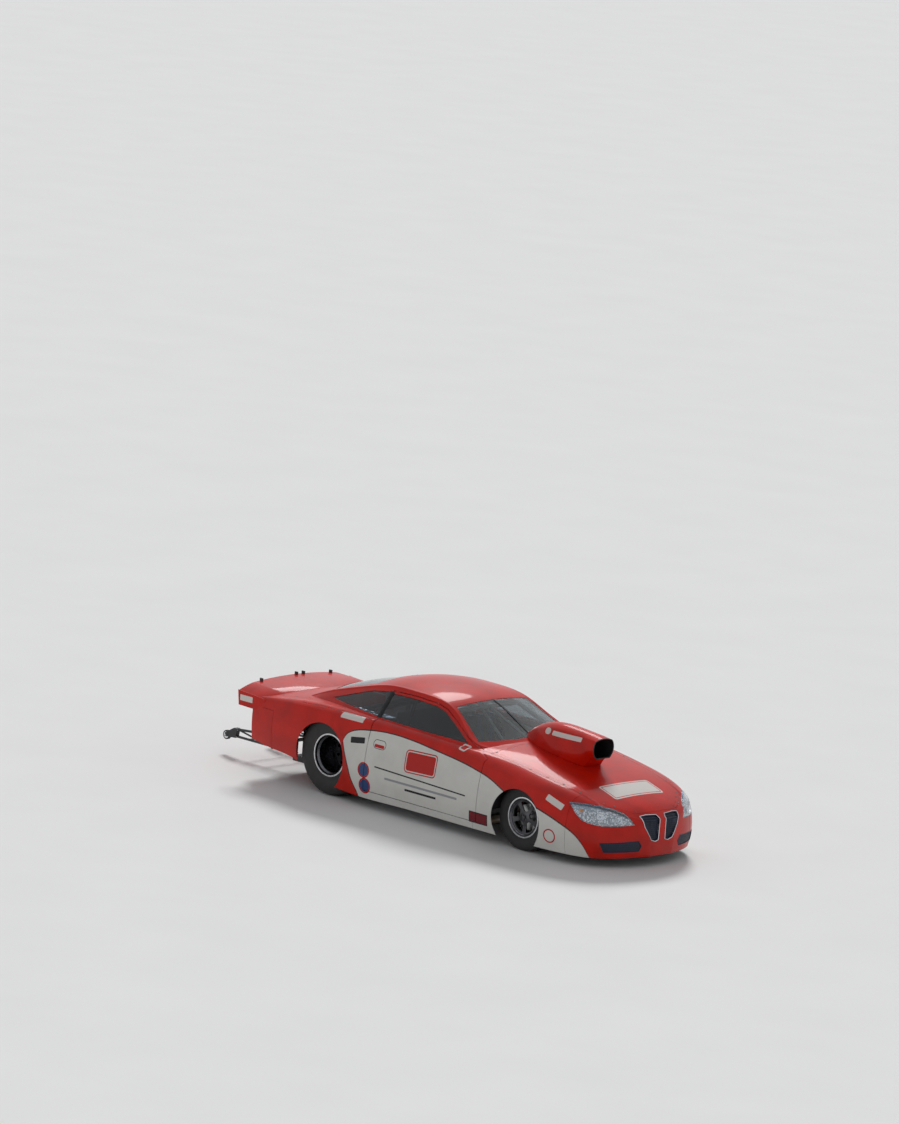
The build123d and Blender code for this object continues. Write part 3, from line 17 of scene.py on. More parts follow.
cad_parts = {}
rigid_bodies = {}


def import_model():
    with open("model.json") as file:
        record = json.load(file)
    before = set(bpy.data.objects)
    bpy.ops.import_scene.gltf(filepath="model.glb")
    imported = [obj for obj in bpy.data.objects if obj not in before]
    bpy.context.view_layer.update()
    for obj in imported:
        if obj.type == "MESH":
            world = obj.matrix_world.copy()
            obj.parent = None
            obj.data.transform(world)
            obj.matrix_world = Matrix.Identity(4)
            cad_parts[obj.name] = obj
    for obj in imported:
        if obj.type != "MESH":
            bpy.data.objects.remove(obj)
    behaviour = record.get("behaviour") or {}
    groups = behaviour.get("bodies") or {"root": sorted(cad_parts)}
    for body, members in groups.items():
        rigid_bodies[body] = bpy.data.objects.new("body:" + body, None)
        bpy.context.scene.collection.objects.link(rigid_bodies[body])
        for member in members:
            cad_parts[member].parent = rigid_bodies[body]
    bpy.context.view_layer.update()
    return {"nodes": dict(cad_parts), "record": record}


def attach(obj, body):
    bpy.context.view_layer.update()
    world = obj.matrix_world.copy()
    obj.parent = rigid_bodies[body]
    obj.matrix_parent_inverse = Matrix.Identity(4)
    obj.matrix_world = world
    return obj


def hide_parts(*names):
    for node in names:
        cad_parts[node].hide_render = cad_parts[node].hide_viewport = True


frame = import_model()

CAD = frame["nodes"]
scene = bpy.context.scene

# %% [markdown]
# The camera stands where the photographer stood: far off to the car's front right, a little above it, with
# a long lens. A long lens keeps the car's near and far wheels almost the same size. The place is worked out
# from three angles and a distance, so that each number means something.

# %% Camera
AZIMUTH, ELEVATION, ROLL = (math.radians(angle) for angle in (43.224, 10.071, 4.586))
CAMERA_DISTANCE = 60.0
CAMERA_AIM = Vector((0.6, 0.0, 0.5))
AIM_RIGHT, AIM_UP = 0.43157, -2.05453
SENSOR_SIZE = 36
FOCAL_PIXELS, PHOTO_PIXELS = 6012.8, 1124
FOCAL_LENGTH = FOCAL_PIXELS / PHOTO_PIXELS * SENSOR_SIZE

back = Vector((math.sin(AZIMUTH) * math.cos(ELEVATION), -math.cos(AZIMUTH) * math.cos(ELEVATION),
               math.sin(ELEVATION)))
level = Vector((math.cos(AZIMUTH), math.sin(AZIMUTH), 0))
upright = back.cross(level)
right = math.cos(ROLL) * level + math.sin(ROLL) * upright
up = -math.sin(ROLL) * level + math.cos(ROLL) * upright
place = CAMERA_AIM + CAMERA_DISTANCE * back - AIM_RIGHT * right - AIM_UP * up
camera = bpy.data.objects.new("camera", bpy.data.cameras.new("camera"))
camera.matrix_world = Matrix.Translation(place) @ Matrix((right, up, back)).transposed().to_4x4()
camera.data.sensor_width = SENSOR_SIZE
camera.data.lens = FOCAL_LENGTH
camera.data.clip_start, camera.data.clip_end = 1, 400
scene.collection.objects.link(camera)
scene.camera = camera
print("camera at", [round(v, 2) for v in place], "lens", round(FOCAL_LENGTH, 1))

# %% [markdown]
# Every finish in this lesson starts from the Principled shader, and gets its detail from procedural nodes.
# Two small helpers keep that short: one starts a material, the other adds a node and links or sets its
# sockets. The object coordinates of a piece are the car's own metres, so a pattern keeps its real size.

# %% Helpers for materials
def start_finish(name, colour, roughness, metallic=0.0, **more):
    """A new material and its Principled shader."""
    material = bpy.data.materials.new(name)
    material.use_nodes = True
    shader = material.node_tree.nodes["Principled BSDF"]
    shader.inputs["Base Color"].default_value = (*colour, 1)
    shader.inputs["Roughness"].default_value = roughness
    shader.inputs["Metallic"].default_value = metallic
    for socket, value in more.items():
        shader.inputs[socket.replace("_", " ")].default_value = value
    return material, shader


def add_node(material, kind, inputs=None, **settings):
    """A node whose sockets are linked to other sockets or set to values."""
    made = material.node_tree.nodes.new("ShaderNode" + kind)
    for name, value in settings.items():
        setattr(made, name, value)
    for socket, value in (inputs or {}).items():
        if isinstance(value, bpy.types.NodeSocket):
            material.node_tree.links.new(value, made.inputs[socket])
        else:
            made.inputs[socket].default_value = value
    return made


def link(material, output, socket):
    """Joins an output to an input socket."""
    material.node_tree.links.new(output, socket)


# %% Patterns and sums
def object_place(material, scale=(1, 1, 1)):
    """The object coordinates, stretched by a scale."""
    place = add_node(material, "TexCoord").outputs["Object"]
    return add_node(material, "Mapping", {"Vector": place, "Scale": scale}).outputs["Vector"]


def noise(material, where, scale, detail=3.0):
    """Cloudy noise from 0 to 1."""
    made = add_node(material, "TexNoise", {"Vector": where, "Scale": scale, "Detail": detail})
    return made.outputs["Fac"]


def ramp(material, factor, *stops):
    """A colour ramp from (position, colour) stops."""
    made = add_node(material, "ValToRGB", {"Fac": factor})
    elements = made.color_ramp.elements
    while len(elements) < len(stops):
        elements.new(0.5)
    for element, (position, colour) in zip(elements, stops):
        element.position = position
        element.color = (*colour, 1)
    return made.outputs["Color"]


def maths(material, operation, *values):
    """One sum on sockets or numbers."""
    return add_node(material, "Math", dict(enumerate(values)), operation=operation).outputs[0]


def vectors(material, operation, *values, out=0):
    """One sum on vectors; a length or distance comes out of output 1."""
    return add_node(material, "VectorMath", dict(enumerate(values)), operation=operation).outputs[out]


def spread(material, factor, low, high):
    """A factor from 0 to 1 turned into a range."""
    return add_node(material, "MapRange", {0: factor, 3: low, 4: high}).outputs[0]


def bump(material, shader, height, distance, strength=1.0):
    """Fine relief on the shader's normal."""
    made = add_node(material, "Bump", {"Height": height, "Distance": distance, "Strength": strength})
    link(material, made.outputs["Normal"], shader.inputs["Normal"])


def blend_colours(material, factor, first, second):
    """A mix of two colours, which may be sockets."""
    made = add_node(material, "Mix", {0: factor, 6: first, 7: second}, data_type="RGBA")
    return made.outputs[2]


# %% [markdown]
# Many of the car's metals, plastics and rubbers differ only in how cloudy, how streaked and how rough they
# are. One helper makes such a finish from two colours and a few real sizes: the size of its cloudiness, of
# its grain, and how deep the grain is.

# %% Worn finishes
def worn_finish(name, dark, light, rough, metallic=0.0, cloud=9.0, grain=400.0, depth=0.00008,
                streak=(1, 1, 1), **more):
    """A finish with cloudy colour, uneven roughness and a fine grain."""
    material, shader = start_finish(name, light, rough[0], metallic, **more)
    clouds = noise(material, object_place(material, streak), cloud, 4.0)
    grains = noise(material, object_place(material, streak), grain, 2.0)
    link(material, ramp(material, clouds, (0.3, dark), (0.7, light)), shader.inputs["Base Color"])
    link(material, spread(material, clouds, rough[0], rough[1]), shader.inputs["Roughness"])
    bump(material, shader, grains, depth)
    return material


FINISHES = {
    "black_paint": worn_finish("black_powder_coat", (0.012, 0.012, 0.014), (0.03, 0.03, 0.033), (0.32, 0.5)),
    "cage_steel": worn_finish("cage_paint", (0.14, 0.145, 0.15), (0.21, 0.215, 0.22), (0.3, 0.45)),
    "bare_sheet": worn_finish("sheet_aluminium", (0.40, 0.41, 0.42), (0.56, 0.57, 0.58), (0.28, 0.5), 0.9,
                              streak=(1, 12, 12), grain=60),
    "engine_metal": worn_finish("cast_aluminium", (0.24, 0.24, 0.24), (0.42, 0.42, 0.41), (0.45, 0.65), 0.85,
                                depth=0.0004),
    "link_steel": worn_finish("zinc_plated_steel", (0.36, 0.36, 0.37), (0.52, 0.52, 0.52), (0.25, 0.42), 1.0),
    "shaft_steel": worn_finish("dark_turned_steel", (0.20, 0.20, 0.21), (0.34, 0.34, 0.35), (0.28, 0.45),
                               1.0),
    "header_steel": worn_finish("heat_stained_steel", (0.22, 0.15, 0.09), (0.46, 0.42, 0.40), (0.25, 0.45),
                                1.0, cloud=6),
    "tank_metal": worn_finish("tank_aluminium", (0.44, 0.45, 0.46), (0.60, 0.61, 0.62), (0.3, 0.48), 0.95),
    "seat_shell": worn_finish("moulded_seat_plastic", (0.018, 0.018, 0.02), (0.05, 0.05, 0.055), (0.4, 0.6),
                              depth=0.0003),
    "dash_plastic": worn_finish("dash_plastic", (0.02, 0.02, 0.021), (0.04, 0.04, 0.042), (0.5, 0.7),
                                depth=0.0003),
    "roller_plastic": worn_finish("roller_nylon", (0.02, 0.02, 0.022), (0.06, 0.06, 0.062), (0.4, 0.6)),
    "grip_rubber": worn_finish("grip_rubber", (0.015, 0.015, 0.015), (0.04, 0.04, 0.04), (0.6, 0.8),
                               depth=0.0004),
    "rim_metal": worn_finish("polished_alloy", (0.62, 0.63, 0.64), (0.76, 0.77, 0.78), (0.12, 0.26), 1.0),
    "tyre_rubber": worn_finish("tyre_rubber", (0.014, 0.014, 0.015), (0.034, 0.033, 0.032), (0.55, 0.8),
                               depth=0.0004),
    "chute_fabric": worn_finish("chute_fabric", (0.02, 0.02, 0.024), (0.05, 0.05, 0.055), (0.75, 0.9)),
    "lamp_lens": worn_finish("lamp_lens", (0.55, 0.60, 0.66), (0.78, 0.80, 0.82), (0.08, 0.16), cloud=40),
    "tail_lens": worn_finish("tail_lens", (0.30, 0.005, 0.005), (0.50, 0.01, 0.01), (0.08, 0.16), cloud=40),
    "grille_mesh": worn_finish("grille_mesh", (0.008, 0.012, 0.03), (0.02, 0.03, 0.06), (0.3, 0.5)),
}
print("finishes:", len(FINISHES))

# %% [markdown]
# The body paint is one material for every panel, because the colours run across the seams. The real car is
# red, with a white panel low on each flank between the wheels, a white wedge ahead of the front wheel, and
# a thin black line round both. The boundary is a curve of height over length, so a Float Curve node holds
# it, and a comparison with the height of each point picks the colour.

# %% Livery
RED = (0.60, 0.010, 0.002)
WHITE = (0.68, 0.67, 0.63)
LINE_WIDTH, FLANK_END, WEDGE_START = 0.011, 1.62, 1.9
FLANK_TOP = [
    (-0.640, 0.560), (-0.633, 0.600), (-0.611, 0.672), (-0.553, 0.728), (-0.460, 0.762), (-0.324, 0.786),
    (-0.168, 0.803), (-0.004, 0.810), (0.236, 0.802), (0.618, 0.765), (1.004, 0.722), (1.191, 0.691),
    (1.355, 0.656), (1.500, 0.605),
]
FLANK_REAR = [
    (0.0, -0.345), (0.118, -0.388), (0.264, -0.484), (0.377, -0.534), (0.483, -0.583), (0.600, -0.634),
]
WEDGE_TOP = [
    (2.0, 0.500), (2.145, 0.461), (2.303, 0.405), (2.453, 0.335), (2.546, 0.250), (2.607, 0.127), (2.64, 0.0),
]
print("points on the colour boundary:", len(FLANK_TOP + FLANK_REAR + WEDGE_TOP))


def curve_of(material, value, points, scale=1.0, shift=0.0):
    """A Float Curve through points, read at a value; the points run over 0 to 1 after the shift and scale."""
    along = maths(material, "MULTIPLY_ADD", value, scale, shift)
    made = add_node(material, "FloatCurve", {"Value": along})
    curve = made.mapping.curves[0]
    spots = [(x * scale + shift, y) for x, y in points]
    while len(curve.points) < len(spots):
        curve.points.new(0.5, 0.5)
    for point, spot in zip(curve.points, spots):
        point.location = spot
    made.mapping.update()
    return made.outputs["Value"]


# %% [markdown]
# Stickers break up the plain paint. Here they are bare shapes, with nothing written on them. Each is a
# rounded box worked out from the place of a point in a side or top view, so it needs no image and keeps a
# sharp edge at any distance.

# %% Plain stickers
DEEP_RED, DARK_RED, BLACK = (0.50, 0.012, 0.008), (0.20, 0.012, 0.020), (0.012, 0.012, 0.014)
GREY, BLUE, PALE = (0.30, 0.31, 0.33), (0.03, 0.07, 0.20), (0.70, 0.66, 0.62)
STICKERS = [
    # the view it is drawn in, its middle, half its size, corner radius, tilt in degrees, colour; in metres
    ("side", (-0.303, 1.030), (0.034, 0.124), 0.010, 0, BLACK),
    ("side", (0.450, 0.597), (0.215, 0.115), 0.045, 2, DEEP_RED),
    ("side", (0.450, 0.597), (0.203, 0.103), 0.035, 2, WHITE),
    ("side", (0.450, 0.597), (0.192, 0.092), 0.026, 2, DEEP_RED),
    ("side", (0.470, 0.429), (0.630, 0.007), 0.003, -1.6, BLACK),
    ("side", (0.490, 0.356), (0.500, 0.011), 0.004, 0, GREY),
    ("side", (0.490, 0.301), (0.215, 0.011), 0.004, 0, BLACK),
    ("side", (-0.135, 0.672), (0.086, 0.046), 0.046, 0, BLACK),
    ("side", (-0.135, 0.672), (0.080, 0.040), 0.040, 0, WHITE),
    ("side", (-0.135, 0.655), (0.066, 0.016), 0.014, 0, DEEP_RED),
    ("side", (-0.435, 0.660), (0.095, 0.030), 0.008, 8, BLACK),
    ("side", (-0.306, 0.383), (0.080, 0.080), 0.080, 0, DEEP_RED),
    ("side", (-0.306, 0.383), (0.064, 0.064), 0.064, 0, BLUE),
    ("side", (-0.282, 0.227), (0.080, 0.080), 0.080, 0, DEEP_RED),
    ("side", (-0.282, 0.227), (0.064, 0.064), 0.064, 0, BLUE),
    ("side", (1.290, 0.225), (0.125, 0.056), 0.006, 0, BLACK),
    ("side", (1.290, 0.225), (0.115, 0.046), 0.004, 0, DARK_RED),
    ("side", (2.217, 0.243), (0.070, 0.070), 0.070, 0, DEEP_RED),
    ("side", (2.217, 0.243), (0.056, 0.056), 0.056, 0, WHITE),
    ("side", (2.225, 0.577), (0.105, 0.030), 0.010, -20, PALE),
    ("side", (-0.580, 0.858), (0.155, 0.026), 0.008, 0, PALE),
    ("side", (-2.135, 0.740), (0.090, 0.030), 0.008, 0, PALE),
    ("side", (1.430, 1.060), (0.040, 0.030), 0.030, 0, PALE),
    ("side", (1.690, 1.056), (0.190, 0.022), 0.010, 0, PALE),
    ("side", (0.915, 0.846), (0.050, 0.024), 0.022, -8, PALE),
    ("side", (0.915, 0.846), (0.034, 0.012), 0.011, -8, RED),
    ("top", (2.455, 0.000), (0.125, 0.350), 0.030, 0, PALE),
    ("top", (2.455, 0.000), (0.108, 0.333), 0.020, 0, RED),
    ("top", (2.455, 0.000), (0.098, 0.323), 0.014, 0, PALE),
]


def sticker_mask(material, flat, middle, half, corner, tilt):
    """1 inside a rounded box on a flat view of the car, and 0 outside it."""
    local = vectors(material, "SUBTRACT", flat, (*middle, 0))
    if tilt:
        local = add_node(material, "VectorRotate", {"Vector": local, "Angle": math.radians(-tilt)}).outputs[0]
    core = (half[0] - corner, half[1] - corner, 0)
    local = vectors(material, "SUBTRACT", vectors(material, "ABSOLUTE", local), core)
    local = vectors(material, "MAXIMUM", local, (0, 0, 0))
    return maths(material, "LESS_THAN", vectors(material, "LENGTH", local, out=1), corner)


print("plain stickers:", len(STICKERS))

# %% [markdown]
# A soft ridge runs along the top of each front fender. It is only a few millimetres high and has no edge, so
# it is relief in the paint and not in the mesh, and the paint function takes its height.

# %% Fender ridge and body paint
CREASE = [
    (1.0, 0.688), (1.17, 0.682), (1.354, 0.676), (1.51, 0.670), (2.0, 0.652), (2.3, 0.624), (2.494, 0.604),
    (2.9, 0.55),
]
CREASE_WIDTH, CREASE_START, CREASE_RISE = 0.022, 1.05, 0.006


def crease_height(material, x, y):
    """A soft ridge along the top of each front fender."""
    sums = partial(maths, material)
    off = sums("SUBTRACT", sums("ABSOLUTE", y), curve_of(material, x, CREASE, 0.25, 0.2))
    off = sums("DIVIDE", off, CREASE_WIDTH)
    ridge = sums("POWER", 2.718, sums("MULTIPLY", sums("MULTIPLY", off, off), -1.0))
    return sums("MULTIPLY", ridge, sums("GREATER_THAN", x, CREASE_START))


def livery():
    """Glossy paint, red or white with a thin line between, by the place of each point on the car."""
    material, shader = start_finish("body_livery", RED, 0.34, 0.0, Coat_Weight=0.35, Coat_Roughness=0.05,
                                    Specular_IOR_Level=0.08)
    place = object_place(material)
    bump(material, shader, noise(material, place, 260.0, 2.0), 0.00004)
    dust = noise(material, place, 5.0, 5.0)
    link(material, spread(material, dust, 0.28, 0.42), shader.inputs["Roughness"])
    x, y, z = add_node(material, "SeparateXYZ", {"Vector": place}).outputs
    sums = partial(maths, material)
    flank = curve_of(material, x, FLANK_TOP, 0.25, 0.3)
    rear = sums("SUBTRACT", curve_of(material, z, [(a, b + 1) for a, b in FLANK_REAR]), 1.0)
    wedge = curve_of(material, x, WEDGE_TOP, 0.25, 0.3)
    ahead = sums("MULTIPLY", sums("SUBTRACT", x, rear), 0.9)
    inside_flank = sums("MINIMUM", sums("SUBTRACT", flank, z), ahead)
    inside_flank = sums("MINIMUM", inside_flank, sums("SUBTRACT", FLANK_END, x))
    below_wedge = sums("MULTIPLY", sums("SUBTRACT", wedge, z), 0.85)
    inside_wedge = sums("MINIMUM", below_wedge, sums("SUBTRACT", x, WEDGE_START))
    inside = sums("MAXIMUM", inside_flank, inside_wedge)
    red = ramp(material, dust, (0.25, tuple(0.72 * c for c in RED)), (0.65, RED))
    pale = ramp(material, dust, (0.25, tuple(0.9 * c for c in WHITE)), (0.6, WHITE))
    lined = blend_colours(material, sums("GREATER_THAN", inside, 0.0), red, (*BLACK, 1))
    colour = blend_colours(material, sums("GREATER_THAN", inside, LINE_WIDTH), lined, pale)
    views = {"side": add_node(material, "CombineXYZ", {"X": x, "Y": z}).outputs[0],
             "top": add_node(material, "CombineXYZ", {"X": x, "Y": y}).outputs[0]}
    for view, middle, half, corner, tilt, tone in STICKERS:
        mask = sticker_mask(material, views[view], middle, half, corner, tilt)
        colour = blend_colours(material, mask, colour, (*tone, 1))
    link(material, colour, shader.inputs["Base Color"])
    relief = shader.inputs["Normal"].links[0].from_node
    crease = add_node(material, "Bump", {"Height": crease_height(material, x, y), "Distance": CREASE_RISE})
    link(material, crease.outputs["Normal"], relief.inputs["Normal"])
    return material


FINISHES["livery"] = livery()
for slot_name in ("red_paint", "white_paint"):
    FINISHES[slot_name] = FINISHES["livery"]
print("paint nodes:", len(FINISHES["livery"].node_tree.nodes))

# %% [markdown]
# The windows are thin plastic sheet. A clear sheet would block the studio light from the cabin, since light
# bent by it is hard to trace, so shadow rays and soft light pass straight through it with a light tint.

# %% Clear plastic
def clear_finish(name, colour, shadow, ior=1.45, size=14.0, detail=4.0, most=0.05):
    """Clear plastic with faint smears, up to a roughness; shadow colours the light it lets through."""
    material, shader = start_finish(name, colour, most, 0.0, Transmission_Weight=1.0, IOR=ior)
    smears = noise(material, object_place(material), size, detail)
    link(material, spread(material, smears, 0.0, most), shader.inputs["Roughness"])
    clear = add_node(material, "BsdfTransparent", {"Color": (*shadow, 1)})
    path = add_node(material, "LightPath").outputs
    soft = maths(material, "MAXIMUM", path["Is Shadow Ray"], path["Is Diffuse Ray"])
    mix = add_node(material, "MixShader", {0: soft, 1: shader.outputs[0], 2: clear.outputs[0]})
    link(material, mix.outputs[0], material.node_tree.nodes["Material Output"].inputs["Surface"])
    return material


CLEAR, TINTED = (0.62, 0.68, 0.68), (0.20, 0.23, 0.26)
FINISHES["clear_glass"] = clear_finish("windshield_plastic", CLEAR, CLEAR)
FINISHES["tinted_glass"] = clear_finish("side_window_plastic", TINTED, TINTED)
FINISHES["lens"] = clear_finish("lamp_cover", (0.92, 0.94, 0.96), (0.93, 0.94, 0.95), 1.4, 30.0, 2.0, 0.06)
for entry in frame["record"]["subparts"]:
    cad_object = CAD[entry["node"]]
    cad_object.data.materials.clear()
    cad_object.data.materials.append(FINISHES[entry["material_slot"]])

# %% [markdown]
# The body panels are thin moulded sheets that share one flowing surface. The surface is described by
# cross-sections: each row of a table says where the sill, the widest point, the shoulder, the top edge and
# the crown lie at one place along the car. Smooth curves through each column give as many sections between
# them as the paint's reflections need. This keeps the whole surface in one short table.

# %% Sections of the body
LOWER_BODY = [
    # x,   sill y, z,   wide y, z,  shoulder y, z, top y, z,  crown z, in millimetres
    (2900, 150, 105, 175, 250, 150, 420, 105, 458, 466),
    (2846, 357, 102, 388, 262, 346, 443, 272, 485, 510),
    (2780, 510, 98, 545, 280, 490, 470, 400, 522, 556),
    (2600, 720, 92, 755, 330, 695, 540, 565, 595, 632),
    (2350, 820, 95, 850, 390, 795, 605, 660, 670, 705),
    (1950, 875, 100, 903, 430, 858, 670, 705, 745, 790),
    (1500, 885, 105, 910, 450, 862, 730, 715, 812, 865),
    (950, 885, 105, 908, 450, 835, 800, 740, 850, 915),
    (200, 885, 105, 908, 450, 830, 840, 740, 880, 930),
    (-500, 890, 105, 912, 500, 845, 850, 735, 900, 940),
    (-900, 890, 160, 915, 520, 850, 850, 725, 900, 945),
    (-1350, 865, 290, 890, 560, 842, 840, 730, 875, 925),
    (-1700, 830, 315, 850, 560, 815, 800, 745, 830, 880),
    (-2040, 780, 345, 800, 560, 785, 760, 740, 785, 845),
]
CABIN = [
    # x,  foot y, z,  rail y, z,  roof z
    (1220, 500, 800, 460, 835, 880),
    (960, 760, 800, 690, 890, 990),
    (720, 785, 810, 622, 1020, 1112),
    (480, 800, 820, 562, 1145, 1202),
    (50, 805, 830, 550, 1195, 1265),
    (-400, 795, 840, 540, 1182, 1252),
    (-800, 760, 840, 540, 1090, 1160),
    (-1200, 700, 820, 560, 975, 1045),
    (-1550, 640, 780, 560, 835, 875),
]
print("body and cabin sections:", len(LOWER_BODY), len(CABIN))

# %% Curves through the tables
def smooth_rows(table, count):
    """Rows of a table in metres, with many more between them on natural cubic splines."""
    knots = np.array(table, float) * 0.001
    steps = np.linalg.norm(np.diff(knots, axis=0), axis=1)
    place = np.concatenate(([0], np.cumsum(steps)))
    size = len(place)
    system, target = np.eye(size), np.zeros(knots.shape)
    for i in range(1, size - 1):
        before, after = steps[i - 1], steps[i]
        system[i, i - 1:i + 2] = before, 2 * (before + after), after
        target[i] = 6 * ((knots[i + 1] - knots[i]) / after - (knots[i] - knots[i - 1]) / before)
    bend = np.linalg.solve(system, target)
    reads = np.linspace(0, place[-1], count)
    cell = np.clip(np.searchsorted(place, reads, side="right") - 1, 0, size - 2)
    width = steps[cell][:, None]
    low = (place[cell + 1] - reads)[:, None] / width
    high = 1 - low
    curved = (low ** 3 - low) * bend[cell] + (high ** 3 - high) * bend[cell + 1]
    return low * knots[cell] + high * knots[cell + 1] + curved * width ** 2 / 6


def arc(first, middle, last, count):
    """Points on the circle through three points, without the last point."""
    (ax, ay), (bx, by), (cx, cy) = first, middle, last
    turn = 2 * (ax * (by - cy) + bx * (cy - ay) + cx * (ay - by))
    if abs(turn) < 1e-9:
        return [(ax + (cx - ax) * i / count, ay + (cy - ay) * i / count) for i in range(count)]
    squares = (ax * ax + ay * ay, bx * bx + by * by, cx * cx + cy * cy)
    ux = (squares[0] * (by - cy) + squares[1] * (cy - ay) + squares[2] * (ay - by)) / turn
    uy = (squares[0] * (cx - bx) + squares[1] * (ax - cx) + squares[2] * (bx - ax)) / turn
    radius = math.hypot(ax - ux, ay - uy)
    start, mid, end = (math.atan2(y - uy, x - ux) for x, y in (first, middle, last))
    swing = (end - start) % (2 * math.pi)
    if (mid - start) % (2 * math.pi) > swing:
        swing -= 2 * math.pi
    angles = [start + swing * i / count for i in range(count)]
    return [(ux + radius * math.cos(a), uy + radius * math.sin(a)) for a in angles]


print("widest half of the lower body:", round(smooth_rows(LOWER_BODY, 200)[:, 3].max(), 3))

# %% Rings of points
def flipped(spot):
    """The same (y, z) point on the other side of the car."""
    return (-spot[0], spot[1])


def ring_of_arcs(foot, sides, top, counts):
    """A closed ring: across the foot, up one side by arcs, over the top, and down the other side."""
    ring = arc(flipped(foot), (0, foot[1]), foot, counts[0])
    start, climb = foot, []
    for (middle, end), count in zip(sides, counts[1:]):
        climb.append((start, middle, end, count))
        start = end
    for first, middle, last, count in climb:
        ring += arc(first, middle, last, count)
    ring += arc(start, (0, top), flipped(start), counts[-1])
    for first, middle, last, count in reversed(climb):
        ring += arc(flipped(last), flipped(middle), flipped(first), count)
    return ring


def lower_ring(row, wall):
    """One section of the lower body as (y, z) points, drawn in by a wall."""
    x, sill, z_sill, wide, z_wide, shoulder, z_shoulder, top, z_top, crown = row
    if wall:
        sill, z_sill, wide = sill - wall, z_sill - 1.7 * wall, wide - wall
        shoulder, z_shoulder = shoulder - 0.9 * wall, z_shoulder - 0.5 * wall
        top, z_top, crown = top - 0.4 * wall, z_top - wall, crown - wall
    bulge = ((shoulder + top) / 2 + 0.010, (z_shoulder + z_top) / 2 + 0.010)
    sides = [((wide, z_wide), (shoulder, z_shoulder)), (bulge, (top, z_top))]
    return ring_of_arcs((sill, z_sill), sides, crown, (12, 20, 9, 44))


def cabin_ring(row, wall):
    """One section of the cabin as (y, z) points, drawn in by a wall."""
    x, foot, z_foot, rail, z_rail, roof = row
    if wall:
        foot, z_foot = foot - wall, z_foot - 1.7 * wall
        rail, z_rail, roof = rail - 0.8 * wall, z_rail - 0.8 * wall, roof - wall
    side = ((foot + rail) / 2 + 0.008, (z_foot + z_rail) / 2)
    turn, edge = (rail - 0.007, z_rail + 0.011), (rail - 0.022, z_rail + 0.014)
    return ring_of_arcs((foot, z_foot), [(side, (rail, z_rail)), (turn, edge)], roof, (8, 16, 6, 40))


print("points in a ring of the lower body:", len(lower_ring(smooth_rows(LOWER_BODY, 3)[1], 0)))

# %% Solids through rings
def new_object(name, points, faces):
    """A mesh object in the scene."""
    mesh = bpy.data.meshes.new(name)
    mesh.from_pydata([tuple(p) for p in points], [], faces)
    mesh.update()
    made = bpy.data.objects.new(name, mesh)
    scene.collection.objects.link(made)
    return made


def outward(piece):
    """Turns all faces of a closed mesh outwards."""
    work = bmesh.new()
    work.from_mesh(piece.data)
    bmesh.ops.recalc_face_normals(work, faces=work.faces)
    work.to_mesh(piece.data)
    work.free()
    return piece


def skinned(name, stations, rings):
    """A closed solid through rings of (y, z) points at stations along x."""
    count = len(rings[0])
    points = [(x, y, z) for x, ring in zip(stations, rings) for y, z in ring]
    faces = []
    for i in range(len(rings) - 1):
        for j in range(count):
            k = (j + 1) % count
            faces.append((i * count + j, i * count + k, (i + 1) * count + k, (i + 1) * count + j))
    faces.append(tuple(range(count)))
    faces.append(tuple(range((len(rings) - 1) * count, len(rings) * count)))
    return outward(new_object(name, points, faces))


def body_solid(table, ring_of, wall, count):
    """The lower body or the cabin as a solid, drawn in by a wall."""
    rows = smooth_rows(table, count)
    order = np.arange(count) * 1e-6
    stations = np.clip(rows[:, 0], rows[-1, 0] + wall + order[::-1], rows[0, 0] - wall - order)
    return skinned("solid", stations, [ring_of(row, wall) for row in rows])


# %% [markdown]
# Panels are cut from that surface with booleans, the way a mould is trimmed along scribed lines. The
# Manifold solver is quick and exact on closed meshes, so the whole body can be cut panel by panel in a few
# seconds.

# %% Cutting tools
def baked(piece):
    """The piece with its modifiers applied."""
    graph = bpy.context.evaluated_depsgraph_get()
    mesh = bpy.data.meshes.new_from_object(piece.evaluated_get(graph))
    piece.modifiers.clear()
    old, piece.data = piece.data, mesh
    bpy.data.meshes.remove(old)
    return piece


def combine(piece, how, *tools):
    """The piece changed by booleans with tools, one after the other."""
    for tool in tools:
        step = piece.modifiers.new("boolean", "BOOLEAN")
        step.operation, step.object, step.solver = how, tool, "MANIFOLD"
    return baked(piece)


def copy_of(piece, name):
    """A copy with its own mesh."""
    made = piece.copy()
    made.data = piece.data.copy()
    made.name = name
    scene.collection.objects.link(made)
    return made


def discard(*pieces):
    """Removes helper objects."""
    for piece in pieces:
        mesh = piece.data
        bpy.data.objects.remove(piece)
        bpy.data.meshes.remove(mesh)


def whole_body(wall, lower_count, cabin_count):
    """The lower body and the cabin in one solid, drawn in by a wall."""
    return combine(body_solid(LOWER_BODY, lower_ring, wall, lower_count), "UNION",
                   body_solid(CABIN, cabin_ring, wall, cabin_count))


def layer(table, ring_of, near, far, count):
    """The layer of the lower body or the cabin between two depths under its surface."""
    return combine(body_solid(table, ring_of, near, count), "DIFFERENCE",
                   body_solid(table, ring_of, far, count))


